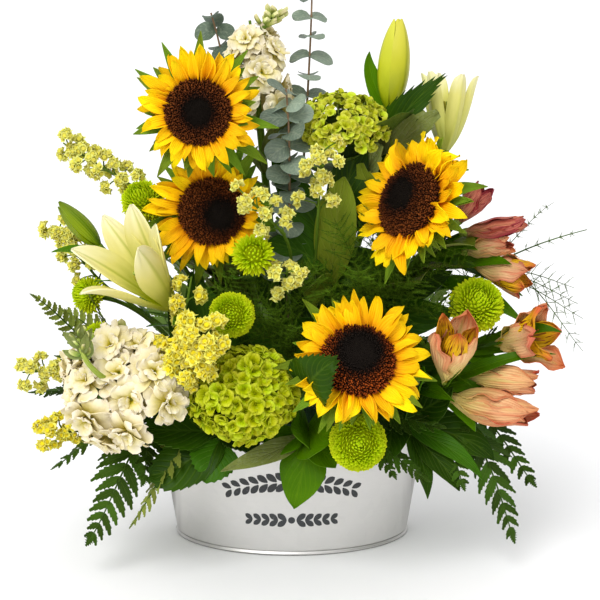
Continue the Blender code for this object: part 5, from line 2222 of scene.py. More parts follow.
@dataclass(frozen=True)
class Tub:
    """The oval galvanised tub: drawn wall with rolled beads and a printed leaf garland.

    Attributes:
        bead: Radius of the rolled beads.
        steps: Number of steps round the wall.
    """

    bead: float = 0.0018
    steps: int = 160

    def outer(self, height: float) -> float:
        """The wall's outer half-width across the oval at a height."""
        return TUB_FLOOR_RADIUS + (TUB_RIM_RADIUS - TUB_FLOOR_RADIUS) * height / TUB_HEIGHT

    def section(self) -> list[Pair]:
        """The wall's cross-section as (radius, height) points, up the outside and down the inside."""
        points = []
        foot = self.bead * 0.7
        low = (self.outer(foot) - foot * 0.35, foot)
        for step in range(9):
            angle = math.radians(-90 + 150 * step / 8)
            points.append((low[0] + foot * math.cos(angle), low[1] + foot * math.sin(angle)))
        for height in (0.003, GROOVE_HEIGHT, 0.0042, 0.0052, 0.02, 0.04, 0.06, 0.08, 0.096):
            groove = GROOVE_DEPTH if height == GROOVE_HEIGHT else 0
            points.append((self.outer(height) - groove, height))
        high = (self.outer(TUB_HEIGHT - self.bead) + self.bead * 0.6, TUB_HEIGHT - self.bead)
        for step in range(10):
            angle = math.radians(-120 + 210 * step / 9)
            points.append((high[0] + self.bead * math.cos(angle), high[1] + self.bead * math.sin(angle)))
        for height in (0.102, 0.085, 0.05, 0.02, 0.002):
            points.append((self.outer(height) - SHEET_METAL, height))
        return points

    def wall(self) -> None:
        """Make the wall: its section spun round the middle and stretched into an oval."""
        wall = Cluster()
        shape = lathe(self.section(), self.steps, True)
        bmesh.ops.scale(shape, verts=shape.verts[:], vec=(OVAL_RATIO, 1, 1))
        bmesh.ops.recalc_face_normals(shape, faces=shape.faces[:])
        wall.add(settle(shape))
        seam = local(*((self.outer(height) + 0.0003, height) for height in (0.006, 0.037, 0.068, 0.1)))
        wall.add(Blade(seam, 0.006, Outline.STRAP, -FRONT, columns=2, rows=6, thick=0.0006).mesh())
        wall.piece("tub_wall_sheet", Slot.ZINC, [ZINC], "tub_wall")

    def wrap(self, flat: bpy.types.Mesh, lift: float) -> None:
        """Bend a flat motif drawn in X and Z onto the front of the wall.

        Args:
            flat: The mesh, with Y as its thickness.
            lift: How far it stands off the metal.
        """
        for vertex in flat.vertices:
            radius = self.outer(vertex.co.z)
            share = vertex.co.x / (OVAL_RATIO * radius)
            vertex.co.y += -radius * math.sqrt(max(1 - share ** 2, 0)) - lift

    def garland(self) -> None:
        """Print two mirrored leaf sprigs in a shallow arch, over a shorter straight pair."""
        print_ = Cluster()

        def leaf(x: float, z: float, angle: float, length: float, half: float) -> None:
            """Lay one leaf with its foot at (x, z)."""
            way = Vector((math.cos(angle), 0, math.sin(angle)))
            foot = Vector((x, 0, z))
            spine = Curve.between(foot, way, foot + way * length, way)
            print_.add(Blade(spine, half, Outline.OVAL, FRONT, rows=6, thick=INK_LAYER).mesh())

        for side in (-1, 1):
            for index in range(7):
                share = (index + 0.6) / 7
                x = 0.054 * share
                z = ARCH_HEIGHT - 0.01 * share ** 2
                slope = -0.36 * share
                for lean in (0.72, -0.72):
                    leaf(side * x, z + 0.0008 * (1 if lean > 0 else -1), (slope + lean) if side > 0
                        else math.pi - slope - lean, 0.0118 - 0.0034 * share, 0.0032 - 0.0008 * share)
            for index in range(5):
                share = (index + 0.6) / 5
                for lean in (0.66, -0.66):
                    leaf(side * 0.036 * share, LINE_HEIGHT, lean if side > 0 else math.pi - lean,
                        0.0098 - 0.0026 * share, 0.0027 - 0.0006 * share)
        for z, radius in ((ARCH_HEIGHT, 0.0036), (LINE_HEIGHT, 0.003)):
            berry = new_shape()
            bmesh.ops.create_cone(berry, cap_ends=True, segments=20, radius1=radius, radius2=radius,
                depth=INK_LAYER)
            print_.add(settle(berry), Matrix.Translation((0, 0, z)) @ GROWN_UP)
        flat = settle(print_.whole)
        self.wrap(flat, INK_LAYER)
        whole = Cluster()
        whole.add(flat)
        whole.piece("printed_garland", Slot.ZINC, [INK], "tub_wall")

    def build(self) -> None:
        """Make the wall and its print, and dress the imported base, liner and foam."""
        self.wall()
        self.garland()
        for node, finish in (("tub_base", ZINC), ("tub_liner", CLEAR), ("floral_foam", FOAM)):
            dress(node, finish)


def dress(node: str, finish: Finish) -> None:
    """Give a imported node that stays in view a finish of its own."""
    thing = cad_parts[node]
    if not thing.material_slots:
        thing.data.materials.append(finish.material())
    for slot in thing.material_slots:
        slot.material = finish.material()
    log.info("%-28s keeps its packed shape", node)


@dataclass(frozen=True)
class CardPick:
    """A clear plastic card holder: a square rod that opens into a fork.

    Attributes:
        foot: Its lower end.
        lean: The way that it stands.
        length: Length of the rod.
        reach: Length of the prongs.
        spread: How far apart their tips are.
    """

    foot: Triple = (-0.036, 0.048, FOAM_TOP - STEM_DEPTH)
    lean: Triple = (-0.02, -0.05, 1)
    length: float = 0.32
    reach: float = 0.034
    spread: float = 0.011

    def build(self) -> None:
        """Make the rod and the fork's prongs."""
        pick = Cluster()
        foot = Vector(self.foot)
        way = Vector(self.lean).normalized()
        end = foot + way * self.length
        pick.add(twig(Curve.between(foot, way, end, way), 0.0021, 0.0021, 10, 4))
        for side in (-1, 0, 1):
            tip = end + way * self.reach + RIGHT * side * self.spread
            prong = Curve.between(end - way * 0.002, way + RIGHT * side * 1.1, tip, way)
            pick.add(twig(prong, 0.0018, 0.0012, 10, 6))
        pick.piece("card_fork", Slot.PLASTIC, [CLEAR], "card_pick")


# ---- planting ----


def foliage(*rows: tuple, **form: Outline | float) -> tuple[SideLeaf, ...]:
    """Side leaves from rows of a leaf's first values, and any values that all of them share."""
    return tuple(SideLeaf(*row, **form) for row in rows)


def sunflowers() -> list[Sunflower]:
    """The four sunflowers."""
    return [
        Sunflower("sunflower_top", (-0.026, 0.004), (-0.071, -0.114, 0.382), (-0.05, -0.98, 0.16), 0.0252,
            0.047),
        Sunflower("sunflower_second", (-0.032, -0.014), (-0.063, -0.086, 0.3), (0.06, -0.97, 0.14), 0.0262,
            0.048, long_side=175, long_gain=0.22, heart=(0.25, -0.1)),
        Sunflower("sunflower_right", (0.04, 0), (0.093, -0.1, 0.311), (-0.69, -0.6, 0.4), 0.03, 0.056, 0.0062,
            long_side=20, heart=(-0.22, 0.1), leaves=foliage((0.6, (0.056, -0.06, 0.335), 0.017,
            (-0.4, -0.9, 0.2), (-0.1, 0.2, 1)), (0.65, (0.1, -0.052, 0.376), 0.017, (-0.4, -0.9, 0.3),
            (0.8, 0.1, 0.8)), teeth=0.08, rows=20)),
        Sunflower("sunflower_front", (0.03, -0.038), (0.052, -0.145, 0.193), (0.04, -0.84, 0.54), 0.029,
            0.054, 0.0062, long_side=20, long_gain=0.04, lift=0.02, rusty=True, heart=(0.05, 0.2), wild=3),
    ]


def lilies() -> list[OpenLily | LilyBud]:
    """The open lily, the half-open one and the two buds."""
    return [
        OpenLily("lily_open", (-0.048, -0.013), (-0.095, -0.08, 0.2195), (-0.139, -0.128, 0.28),
            (Tepal((-0.126, -0.096, 0.307), 0.014, 0, 0.5), Tepal((-0.15, -0.085, 0.2965), 0.012, 0.1),
            Tepal((-0.106, -0.112, 0.294), 0.0105, 0, 0.6), Tepal((-0.1165, -0.15, 0.282), 0.0145, -0.25,
            0.55), Tepal((-0.17, -0.124, 0.277), 0.0125, 0.2), Tepal((-0.161, -0.146, 0.247), 0.0115, 0.35,
            0.9)), TEPAL),
        OpenLily("lily_half_open", (0.054, 0.018), (0.126, -0.04, 0.343), (0.129, -0.025, 0.405),
            (Tepal((0.107, -0.026, 0.404), 0.0068, -0.1, 1.1), Tepal((0.112, -0.044, 0.407), 0.0062, -0.2,
            1.1), Tepal((0.122, -0.01, 0.403), 0.0066, -0.2, 1.1), Tepal((0.138, -0.048, 0.405), 0.007, -0.2,
            1.1), Tepal((0.14, -0.01, 0.401), 0.0066, -0.2, 1.1), Tepal((0.152, -0.028, 0.402), 0.0066, -0.1,
            1.1)), TEPAL_YOUNG, Outline.FINGER, 0.75),
        LilyBud("lily_bud_tall", (0.034, 0.024), (0.081, -0.026, 0.374), (0.088, -0.01, 0.447), 0.0112, 0.003,
            BUD_YELLOW, SideLeaf(0.92, (0.064, -0.018, 0.421), 0.008, (0.4, -0.9, 0), (0.2, 0, 1))),
        LilyBud("lily_bud_small", (-0.068, 0.008), (-0.157, -0.058, 0.267), (-0.189, -0.052, 0.3), 0.0068,
            0.0025, BUD_LEAF, SideLeaf(0.85, (-0.196, -0.06, 0.262), 0.006, (0, -0.4, 1), (-1, 0, -0.3))),
    ]


def domes() -> list[StockHead | StockSpike | Hydrangea]:
    """The stocks and the hydrangeas."""
    return [
        StockHead("stock_low", (-0.064, -0.034), (-0.132, -0.114, 0.166), (-0.4, -0.8, 0.32), 0.052, 0.038),
        StockSpike("stock_tall", (-0.01, 0.022), (-0.026, -0.024, 0.362), (-0.034, -0.014, 0.446),
            (-0.012, -0.016, 0.45), 0.029),
        Hydrangea("hydrangea_low", (-0.018, -0.05), (-0.038, -0.126, 0.16), (-0.08, -0.9, 0.4), 0.0405, 0.03,
            0.84, 165),
        Hydrangea("hydrangea_high", (0.018, 0), (0.042, -0.046, 0.362), (0.02, -0.42, 0.9), 0.037, 0.024, 0.9,
            156, 26),
    ]


def poms() -> list[Pom]:
    """The button chrysanthemums."""
    return [
        Pom("pom_centre", (-0.02, -0.032), (-0.029, -0.122, 0.273), (0.1, -0.8, 0.5), 0.0175, 130, 0.44),
        Pom("pom_left", (-0.034, -0.04), (-0.047, -0.12, 0.224), (-0.1, -0.93, 0.3), 0.019, 300, 0.16),
        Pom("pom_front", (0.044, -0.05), (0.053, -0.142, 0.125), (0.05, -0.96, 0.2), 0.024, 400, 0.06),
        Pom("pom_right", (0.064, -0.012), (0.1495, -0.092, 0.2275), (0.15, -0.74, 0.66), 0.0232, 380, 0.18),
        Pom("pom_upper_left", (-0.05, 0.008), (-0.1205, -0.066, 0.3065), (-0.25, -0.6, 0.7), 0.019, 330),
        Pom("pom_behind_lily", (-0.082, 0.01), (-0.17, -0.05, 0.224), (-0.8, -0.5, 0.25), 0.016, 280),
        Pom("pom_behind_stock", (-0.072, -0.012), (-0.16, -0.072, 0.192), (-0.8, -0.5, 0.25), 0.015, 260),
        Pom("pom_far_right", (0.09, 0), (0.166, -0.054, 0.158), (0.75, -0.5, 0.3), 0.015, 260),
    ]


def statices() -> list[Statice]:
    """The statice sprays."""
    return [
        Statice("statice_upper_left", (-0.054, 0.026), (-0.128, -0.042, 0.312), (-0.188, -0.028, 0.347),
            0.014, 20),
        Statice("statice_left", (-0.078, 0.026), (-0.166, -0.026, 0.236), (-0.2, -0.026, 0.278), 0.014, 15),
        Statice("statice_low_left", (-0.088, -0.006), (-0.176, -0.05, 0.16), (-0.226, -0.046, 0.156), 0.013,
            15),
        Statice("statice_rim_left", (-0.082, -0.026), (-0.16, -0.072, 0.114), (-0.208, -0.08, 0.113), 0.013,
            15, bright=True),
        Statice("statice_front", (-0.048, -0.04), (-0.088, -0.126, 0.182), (-0.062, -0.154, 0.216), 0.021, 34,
            11, 1.15, bright=True, arm=(-0.079, -0.1, 0.25)),
        Statice("statice_middle", (-0.01, -0.022), (-0.01, -0.104, 0.29), (-0.036, -0.134, 0.322), 0.016, 13,
            8, 0.92),
        Statice("statice_centre", (0.016, -0.018), (0.022, -0.08, 0.304), (0.024, -0.1, 0.352), 0.018, 14, 9,
            0.95),
        Statice("statice_inner", (0.004, -0.036), (-0.003, -0.1, 0.244), (-0.003, -0.128, 0.262), 0.013, 7),
    ]


def peruvian_lilies() -> list[PeruvianLily]:
    """The salmon Peruvian lilies on the right."""

    def strap(*row: float | Triple, **form: int) -> SideLeaf:
        """A strap leaf."""
        return SideLeaf(*row, outline=Outline.LANCE, **form)

    return [
        PeruvianLily("alstroemeria_upper", (0.066, 0.006),
            (Floret((0.136, -0.06, 0.288), (0.157, -0.068, 0.316), 0.013), Floret((0.142, -0.064, 0.279),
            (0.188, -0.08, 0.291), 0.0075)), (strap(0.8, (0.176, -0.074, 0.262), 0.008, (0.3, -0.6, 0.8)),
            strap(0.7, (0.19, -0.06, 0.225), 0.009, (0.3, -0.6, 0.8))), dusky=True),
        PeruvianLily("alstroemeria_middle", (0.076, 0.016),
            (Floret((0.15, -0.06, 0.252), (0.192, -0.084, 0.244), 0.019), Floret((0.144, -0.06, 0.262),
            (0.178, -0.078, 0.272), 0.01)), (strap(0.75, (0.176, -0.09, 0.258), 0.0085, (0.2, -0.8, 0.8)),
            strap(0.6, (0.19, -0.07, 0.205), 0.01, (0.2, -0.8, 0.8)))),
        PeruvianLily("alstroemeria_cup", (0.058, -0.032), (Floret((0.124, -0.106, 0.166),
            (0.131, -0.134, 0.219), 0.023),), (strap(0.85, (0.134, -0.124, 0.18), 0.0065, (0.2, -0.8, 0.8)),
            strap(0.6, (0.212, -0.102, 0.187), 0.0068, (0, -0.8, 1), (1, -0.1, -0.1), rows=22),
            strap(0.55, (0.108, -0.112, 0.172), 0.012, (0, -0.8, 0.6)))),
        PeruvianLily("alstroemeria_open", (0.082, -0.018),
            (Floret((0.17, -0.078, 0.19), (0.208, -0.104, 0.206), 0.029),),
            (strap(0.75, (0.216, -0.106, 0.206), 0.0075, (0.1, -0.8, 1), (1, -0.1, -0.4), rows=22),
            strap(0.6, (0.178, -0.084, 0.16), 0.01, (0.2, -0.7, 0.9)))),
        PeruvianLily("alstroemeria_buds", (0.07, -0.034), (Floret((0.146, -0.086, 0.162),
            (0.198, -0.106, 0.163), 0.0135), Floret((0.13, -0.096, 0.148), (0.191, -0.12, 0.142), 0.015)),
            (strap(0.55, (0.15, -0.096, 0.12), 0.011, (0.3, -0.8, 0.7)), strap(0.65, (0.176, -0.07, 0.128),
            0.011, (0.3, -0.8, 0.7)), strap(0.4, (0.14, -0.09, 0.18), 0.013, (0.2, -0.8, 0.7)))),
    ]


def eucalyptuses() -> list[Eucalyptus]:
    """The eucalyptus branches."""
    return [
        Eucalyptus("eucalyptus_tall", (0.004, 0.008), (0, 0, 1), (0.017, -0.001, 0.467), (0.02, 0.05, 1),
            0.0108, 8, 0.58, 0.3, 0.05, 0.2),
        Eucalyptus("eucalyptus_column", (-0.004, -0.006), (0, -0.25, 1), (-0.004, -0.062, 0.395),
            (-0.1, 0.4, 1), 0.0122, 13, 0.36, 0.1, 0.12, 0.42),
        Eucalyptus("eucalyptus_left", (-0.028, 0.026), (-0.1, -0.05, 1), (-0.066, -0.01, 0.452), (-0.3, 0, 1),
            0.01, 6, 0.74, 0.2, 0.4, 0.6, SILVER_DARK),
    ]


def ferns() -> list[Fern]:
    """The leatherleaf fronds round the rim."""
    front, left = (0, -0.5, 1), (-0.6, -0.3, 1)
    right, back = (0.6, -0.3, 1), (0, 1, 0.6)

    def behind(way: int) -> tuple[tuple, ...]:
        """The three fronds on one side of the back."""
        return (((0.55 * way, 0.7, 0.6), (0.15 * way, 0.116, 0.2), (0.8 * way, 0.5, 0.1), 0.03, 9, 0.25,
            back), ((0.25 * way, 0.5, 0.9), (0.09 * way, 0.08, 0.29), (0.3 * way, 0.2, 1), 0.03, 9, 0.25,
            back), ((0.55 * way, 0.7, 0.2), (0.13 * way, 0.112, 0.1), (0.5 * way, 0.5, -0.7), 0.026, 9, 0.3,
            back))

    beds = (
        ("low_left", -0.098, -0.03, FERN, (((-0.4, -0.9, 0.16), (-0.168, -0.114, 0.028), (-0.7, -0.1, -0.9),
            0.031, 9, 0.34, (-0.3, -0.8, 0.6)), ((-0.8, -0.65, 0.2), (-0.196, -0.104, 0.09),
            (-0.9, -0.2, -0.5), 0.022, 8, 0.3, left), ((-0.6, -0.75, 0.3), (-0.12, -0.128, 0.084),
            (-0.3, -0.6, -0.6), 0.022, 8, 0.25, front))),
        ("low_left_thin", -0.074, -0.051, FERN_PALE, (((-0.2, -0.95, 0.1), (-0.13, -0.132, 0.05),
            (-0.7, -0.1, -0.9), 0.019, 9, 0.4, (-0.4, -1, 0.5)), ((-0.6, -0.7, 0.2), (-0.104, -0.106, 0.092),
            (-0.4, -0.4, -0.6), 0.018, 8, 0.25, front))),
        ("left", -0.108, 0.006, FERN_PALE, (((-0.95, 0, 0.35), (-0.222, -0.02, 0.218), (-1, -0.1, 0.6),
            0.0125, 9, 0.5, (-0.2, -1, 0.6)), ((-0.8, -0.3, 0.8), (-0.168, -0.066, 0.232), (-0.5, -0.2, 0.9),
            0.018, 9, 0.25, left), ((-0.9, 0.4, 0.6), (-0.206, 0.04, 0.19), (-0.9, 0.2, 0.3), 0.024, 9, 0.25,
            left))),
        ("left_low", -0.106, -0.012, FERN, (((-0.95, -0.1, 0.22), (-0.226, -0.024, 0.132), (-1, -0.1, 0),
            0.014, 9, 0.4, left), ((-0.95, -0.3, 0.4), (-0.196, -0.066, 0.176), (-1, -0.1, 0.3), 0.022, 9,
            0.25, left), ((-0.95, 0.3, 0.2), (-0.196, 0.04, 0.11), (-1, 0.2, -0.3), 0.024, 9, 0.25, left))),
        ("low_right", 0.098, -0.03, FERN, (((0.8, -0.45, 0.2), (0.184, -0.104, 0.026), (0.35, -0.2, -1),
            0.033, 9, 0.3, right), ((0.6, -0.75, 0.2), (0.14, -0.122, 0.078), (0.3, -0.5, -0.7), 0.02, 8, 0.3,
            front), ((0.9, -0.3, 0.45), (0.19, -0.07, 0.13), (0.9, -0.2, -0.2), 0.022, 8, 0.3, right))),
        ("right", 0.107, -0.01, FERN, (((0.95, -0.15, 0.2), (0.206, -0.068, 0.062), (0.7, -0.25, -0.7), 0.026,
            8, 0.3, right), ((0.95, 0.2, 0.4), (0.2, 0.03, 0.12), (0.9, 0.2, -0.2), 0.026, 8, 0.3, right),
            ((0.8, -0.3, 0.8), (0.17, -0.062, 0.2), (0.5, -0.2, 0.8), 0.024, 8, 0.3, right))),
        ("front", 0.04, -0.065, FERN, (((0.3, -0.9, 0.12), (0.112, -0.122, 0.086), (0.9, -0.2, -0.5), 0.02, 9,
            0.3, front), ((0.1, -0.9, 0.25), (0.084, -0.134, 0.092), (0.5, -0.6, -0.7), 0.018, 8, 0.3, front),
            ((0.5, -0.8, 0.4), (0.124, -0.118, 0.13), (0.8, -0.5, 0), 0.024, 8, 0.25, front))),
        ("back_left", -0.083, 0.045, FERN, behind(-1)),
        ("back_right", 0.082, 0.047, FERN, behind(1)),
        ("back", -0.004, 0.069, FERN, (((0, 0.5, 0.9), (0, 0.103, 0.29), (0, 0.3, 1), 0.034, 10, 0.25, back),
            ((-0.2, 0.6, 0.5), (-0.04, 0.114, 0.18), (-0.3, 0.4, 0.8), 0.03, 9, 0.25, back), ((0.2, 0.6, 0.5),
            (0.044, 0.114, 0.17), (0.3, 0.4, 0.8), 0.03, 9, 0.25, back), ((0, 0.8, 0.2), (0, 0.114, 0.09),
            (0, 0.4, -0.9), 0.026, 9, 0.25, back))),
    )
    return [Fern(f"fern_{name}", (x, y, FOAM_SHOULDER), tuple(Frond(*row) for row in rows), finish) for name,
        x, y, finish, rows in beds]


def plumes() -> list[Plume]:
    """The asparagus fern."""
    return [
        Plume("plume_centre", (0.05, -0.016), (0.15, -0.45, 1), (0.08, -0.088, 0.262), (0.5, -0.4, 1), 0.034,
            (0, -1, 0.4), 0.25, ((0.35, (0.004, -0.096, 0.262), 0.024), (0.4, (0.034, -0.094, 0.296), 0.024),
            (0.45, (0.066, -0.084, 0.302), 0.024), (0.5, (0.098, -0.082, 0.292), 0.024),
            (0.45, (0.128, -0.086, 0.278), 0.024), (0.4, (0.146, -0.082, 0.262), 0.022),
            (0.3, (0.024, -0.108, 0.24), 0.024), (0.35, (0.052, -0.116, 0.258), 0.024),
            (0.35, (0.098, -0.112, 0.252), 0.024), (0.3, (0.132, -0.104, 0.228), 0.024),
            (0.25, (0.118, -0.112, 0.19), 0.022))),
        Plume("plume_left", (0.01, -0.05), (-0.1, -0.6, 1), (-0.012, -0.104, 0.226), (-0.2, -0.3, 1), 0.022,
            (0, -1, 0.2), 0.4, ((0.45, (-0.066, -0.092, 0.244), 0.022), (0.5, (0.02, -0.105, 0.262), 0.02),
            (0.5, (-0.044, -0.096, 0.264), 0.022), (0.3, (-0.04, -0.106, 0.212), 0.02),
            (0.35, (0.006, -0.118, 0.212), 0.018))),
        Plume("plume_right", (0.078, 0.032), (0.6, 0.1, 1), (0.245, -0.036, 0.276), (1, -0.2, 0.3), 0.006,
            (0, -1, 0.3), 0.45, ((0.45, (0.216, -0.042, 0.3), 0.005), (0.5, (0.243, -0.052, 0.176), 0.012),
            (0.42, (0.232, -0.06, 0.232), 0.016), (0.4, (0.241, -0.056, 0.205), 0.014),
            (0.42, (0.236, -0.058, 0.218), 0.014), (0.35, (0.15, -0.04, 0.25), 0.022),
            (0.35, (0.168, -0.05, 0.205), 0.024)), branches=10, crowd=0.5, tuft=0.55),
    ]


def broad_leaves() -> list[BroadLeaf]:
    """The single broad leaves, with the smaller ones that share their stalks."""
    front = (0, -0.5, 1)
    face = (0, -1, 0.3)
    side = FOAM_SHOULDER
    return [
        BroadLeaf("leaf_hanging", (0.004, -0.07, side), (0.45, -0.9, 0.3), (0.0016, -0.116, 0.0615),
            (-0.25, 0.05, -1), 0.019, front, 0.36, SIDE_DEPTH, Outline.LANCE, GLOSSY, fold=0.12,
            more=foliage((0.25, (0, -0.124, 0.134), 0.02, face, (-0.9, -0.1, 0.5), Outline.ROUND),
            (0.28, (0.034, -0.13, 0.13), 0.024, face, (0.9, 0, 0.2), Outline.ROUND),
            (0.3, (0.036, -0.116, 0.096), 0.015, front, (0.6, -0.1, -0.8)), (0.2, (-0.024, -0.112, 0.104),
            0.015, front, (-0.7, 0, -0.7))), others=foliage((0.3, (-0.056, -0.134, 0.099), 0.0092,
            (0.1, -0.9, 0.6), (-0.9, 0, -0.4), Outline.LANCE, 0, 20))),
        BroadLeaf("leaf_over_sunflower", (0.008, -0.064, 0.126), (0, -1, 0.45), (0.035, -0.172, 0.2015),
            (0.85, 0.35, 0.4), 0.0225, (-0.2, -1, 0.35), 0.5, SIDE_DEPTH, Outline.HEART, DEEP, teeth=0.03),
        BroadLeaf("leaf_serrated", (-0.034, -0.066, side), (-0.25, -0.9, 0.12), (-0.114, -0.122, 0.092),
            (-1, -0.1, 0.1), 0.022, (0, -0.8, 0.7), 0.3, SIDE_DEPTH, Outline.OVAL, DEEP, teeth=0.05,
            more=foliage((0.3, (-0.07, -0.128, 0.088), 0.02, (0, -0.9, 0.7), (-0.6, -0.3, -0.7)),
            (0.25, (-0.122, -0.104, 0.124), 0.022, (-0.3, -0.7, 0.8), (-1, 0, 0)), (0.2, (-0.03, -0.12, 0.11),
            0.018, (0, -0.8, 0.7), (0.4, -0.3, -0.8)), teeth=0.06, rows=26)
            + foliage((0.06, (-0.082, -0.062, 0.246), 0.022, face, (-0.3, 0.1, 1)),
            (0.1, (-0.1, -0.07, 0.222), 0.018, face, (-0.5, 0, 1)), (0.05, (-0.058, -0.056, 0.226), 0.022,
            face, (0.1, 0.1, 1)), (0.06, (-0.064, -0.012, 0.238), 0.02, face, (-0.2, 0.2, 1)), rows=26)),
        BroadLeaf("leaf_olive", (0.03, -0.01, FOAM_TOP), (0.02, -0.3, 1), (0.042, -0.074, 0.326),
            (0.2, 0.2, 1), 0.0175, (-0.2, -1, 0.4), 0.44, STEM_DEPTH, Outline.OVAL, OLIVE, fold=0.14,
            second=DEEP, more=foliage((0.4, (0.01, -0.075, 0.23), 0.017, face)),
            others=foliage((0.5, (-0.02, -0.06, 0.27), 0.017, face), (0.45, (0.08, -0.055, 0.25), 0.018,
            face), (0.6, (0.06, -0.04, 0.32), 0.017, face), (0.3, (0.056, -0.05, 0.252), 0.02, face,
            (0.3, -0.2, 1)), (0.3, (0.1, -0.046, 0.232), 0.022, face, (0.8, -0.2, 0.6)),
            (0.2, (0.112, -0.052, 0.198), 0.022, face, (0.9, -0.2, 0.2)))
            + foliage((0.28, (0.132, -0.06, 0.246), 0.017, face, (0.8, -0.1, 0.5)),
            (0.22, (0.136, -0.064, 0.214), 0.019, face, (0.9, -0.1, 0.3)), (0.16, (0.122, -0.066, 0.182),
            0.019, face, (0.9, -0.1, 0.1)), (0.12, (0.134, -0.086, 0.184), 0.018, face, (0.8, -0.2, 0.4)),
            rows=20) + foliage((0.15, (0.09, -0.06, 0.176), 0.02, face, (0.8, -0.3, 0.2)),
            (0.15, (-0.01, -0.064, 0.206), 0.02, face, (-0.5, -0.3, 0.8)), (0.12, (-0.04, -0.066, 0.202),
            0.02, face, (-0.8, -0.3, 0.6)), (0.62, (0.062, -0.052, 0.362), 0.015, face, (0.5, 0, 0.9)),
            (0.55, (-0.016, -0.05, 0.342), 0.014, face, (-0.4, 0, 0.9)), (0.15, (-0.034, 0.014, 0.236), 0.02,
            face, (-0.6, 0.1, 0.8)), (0.12, (0.006, 0.018, 0.23), 0.021, face, (-0.1, 0.1, 1)))),
        BroadLeaf("leaf_upper_right", (0.024, 0.036, FOAM_TOP), (0.08, -0.15, 1), (0.12, -0.058, 0.403),
            (0.8, 0, 0.6), 0.019, (-0.3, -1, 0.6), 0.56, STEM_DEPTH, Outline.HEART, DEEP, teeth=0.03,
            others=foliage((0.46, (0.118, -0.066, 0.376), 0.0165, (-0.6, -1, 0.5), (0.8, 0, 0.5),
            Outline.OVAL, 0.05, 26), (0.4, (0.072, -0.058, 0.35), 0.013, (-0.5, -1, 0.3), (0.5, 0, 0.9),
            Outline.OVAL, 0.05, 22)), wild=4),
        BroadLeaf("leaf_rim_right", (0.072, -0.052, side), (0.5, -0.8, 0.2), (0.111, -0.112, 0.068),
            (-0.05, -0.1, -1), 0.0085, front, 0.3, SIDE_DEPTH, Outline.LANCE, DEEP,
            more=foliage((0.2, (0.155, -0.112, 0.084), 0.0095, (0.4, -0.9, 0.5), (0.5, -0.1, -0.9),
            Outline.LANCE), (0.15, (0.166, -0.092, 0.094), 0.017, (0.4, -0.9, 0.6), (0.6, -0.1, -0.8)),
            (0.2, (0.13, -0.104, 0.16), 0.016, (0.2, -0.9, 0.5), (0.5, -0.1, 0.8)),
            (0.1, (0.096, -0.104, 0.15), 0.017, (0, -0.9, 0.5), (0.2, -0.3, 0.8)),
            (0.3, (0.136, -0.116, 0.076), 0.011, (0.3, -0.9, 0.6), (0.4, -0.2, -0.9)),
            (0.1, (0.078, -0.118, 0.1), 0.015, (0.1, -0.9, 0.6), (0, -0.4, -0.9)))),
    ]


# ---- stage ----


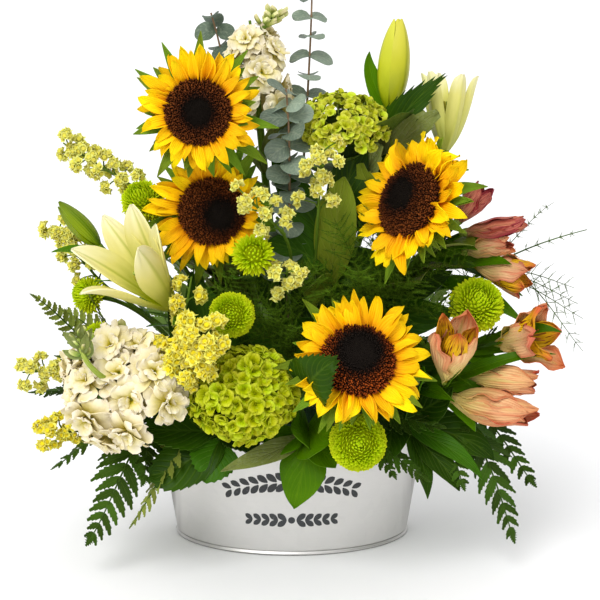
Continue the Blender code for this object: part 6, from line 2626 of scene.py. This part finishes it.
@dataclass(frozen=True)
class Studio:
    """The pale floor, the soft light and the camera.

    Attributes:
        lens: The camera's focal length in millimetres.
        place: Where the camera stands.
        pitch: How far it looks down, in degrees.
        sun: Strength of the key light.
        sky: Strength of the light from all round.
    """

    lens: float = 96
    place: Triple = (0.0071, -1.3419, 0.5176)
    pitch: float = 13
    sun: float = 1.9
    sky: float = 0.88

    def floor(self) -> None:
        """A very large floor that reaches behind the whole view."""
        shape = new_shape()
        bmesh.ops.create_grid(shape, x_segments=4, y_segments=4, size=40)
        mesh = settle(shape)
        mesh.materials.append(FloorFinish("studio_floor", (248, 248, 249)).material())
        floor = bpy.data.objects.new("studio_floor", mesh)
        bpy.context.scene.collection.objects.link(floor)

    def light(self) -> None:
        """A broad key light from the upper left front, in an even world whose sides darken in reflections."""
        key = bpy.data.lights.new("key_light", "SUN")
        key.energy = self.sun
        key.angle = math.radians(35)
        lamp = bpy.data.objects.new("key_light", key)
        lamp.rotation_euler = [math.radians(angle) for angle in (42, -14, -12)]
        bpy.context.scene.collection.objects.link(lamp)
        world = bpy.data.worlds.new("studio_world")
        bpy.context.scene.world = world
        world.use_nodes = True
        board = Board(world.node_tree)
        place = board.field("ShaderNodeTexCoord", {}, {}, "Generated")
        side = board.field("ShaderNodeSeparateXYZ", {}, {0: place}).size()
        stops = [(at, (value, value, value * 1.01, 1)) for at, value in ((0.5, 1.05), (0.92, 0.3))]
        walls = board.field("ShaderNodeValToRGB", {"stops": stops}, {0: side})
        white = shade((255, 255, 255))
        light, seen, mirrored = (board.field("ShaderNodeBackground", {}, {"Color": colour,
            "Strength": strength}) for colour, strength in ((white, self.sky), (white, 1), (walls, self.sky)))
        for ray, other in (("Is Glossy Ray", mirrored), ("Is Camera Ray", seen)):
            chosen = board.field("ShaderNodeLightPath", {}, {}, ray)
            light = board.field("ShaderNodeMixShader", {}, {0: chosen, 1: light, 2: other})
        board.node("ShaderNodeOutputWorld", {}, {"Surface": light})

    def camera(self) -> None:
        """The camera, straight in front and a little above."""
        data = bpy.data.cameras.new("camera")
        data.lens = self.lens
        data.sensor_width = 36
        data.clip_start = 0.05
        data.clip_end = 200
        camera = bpy.data.objects.new("camera", data)
        camera.location = self.place
        camera.rotation_euler = (math.radians(90 - self.pitch), 0, 0)
        bpy.context.scene.collection.objects.link(camera)
        bpy.context.scene.camera = camera

    def build(self) -> None:
        """Set up the stage."""
        self.floor()
        self.light()
        self.camera()
        bpy.context.scene.view_settings.view_transform = "Standard"


def write_size() -> None:
    bpy.context.view_layer.update()


def main() -> None:
    """Build the arrangement, then the stage and the camera."""
    logging.basicConfig(level=logging.INFO, format="%(message)s")
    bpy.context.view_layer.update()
    florist = Florist()
    for plant in sunflowers() + lilies() + peruvian_lilies() + eucalyptuses() + ferns():
        plant.build()
    for plant in plumes() + broad_leaves():
        plant.build()
    for plant in domes() + poms() + statices():
        plant.build(florist)
    Tub().build()
    CardPick().build()
    Studio().build()
    write_size()


if __name__ == "__main__":
    main()
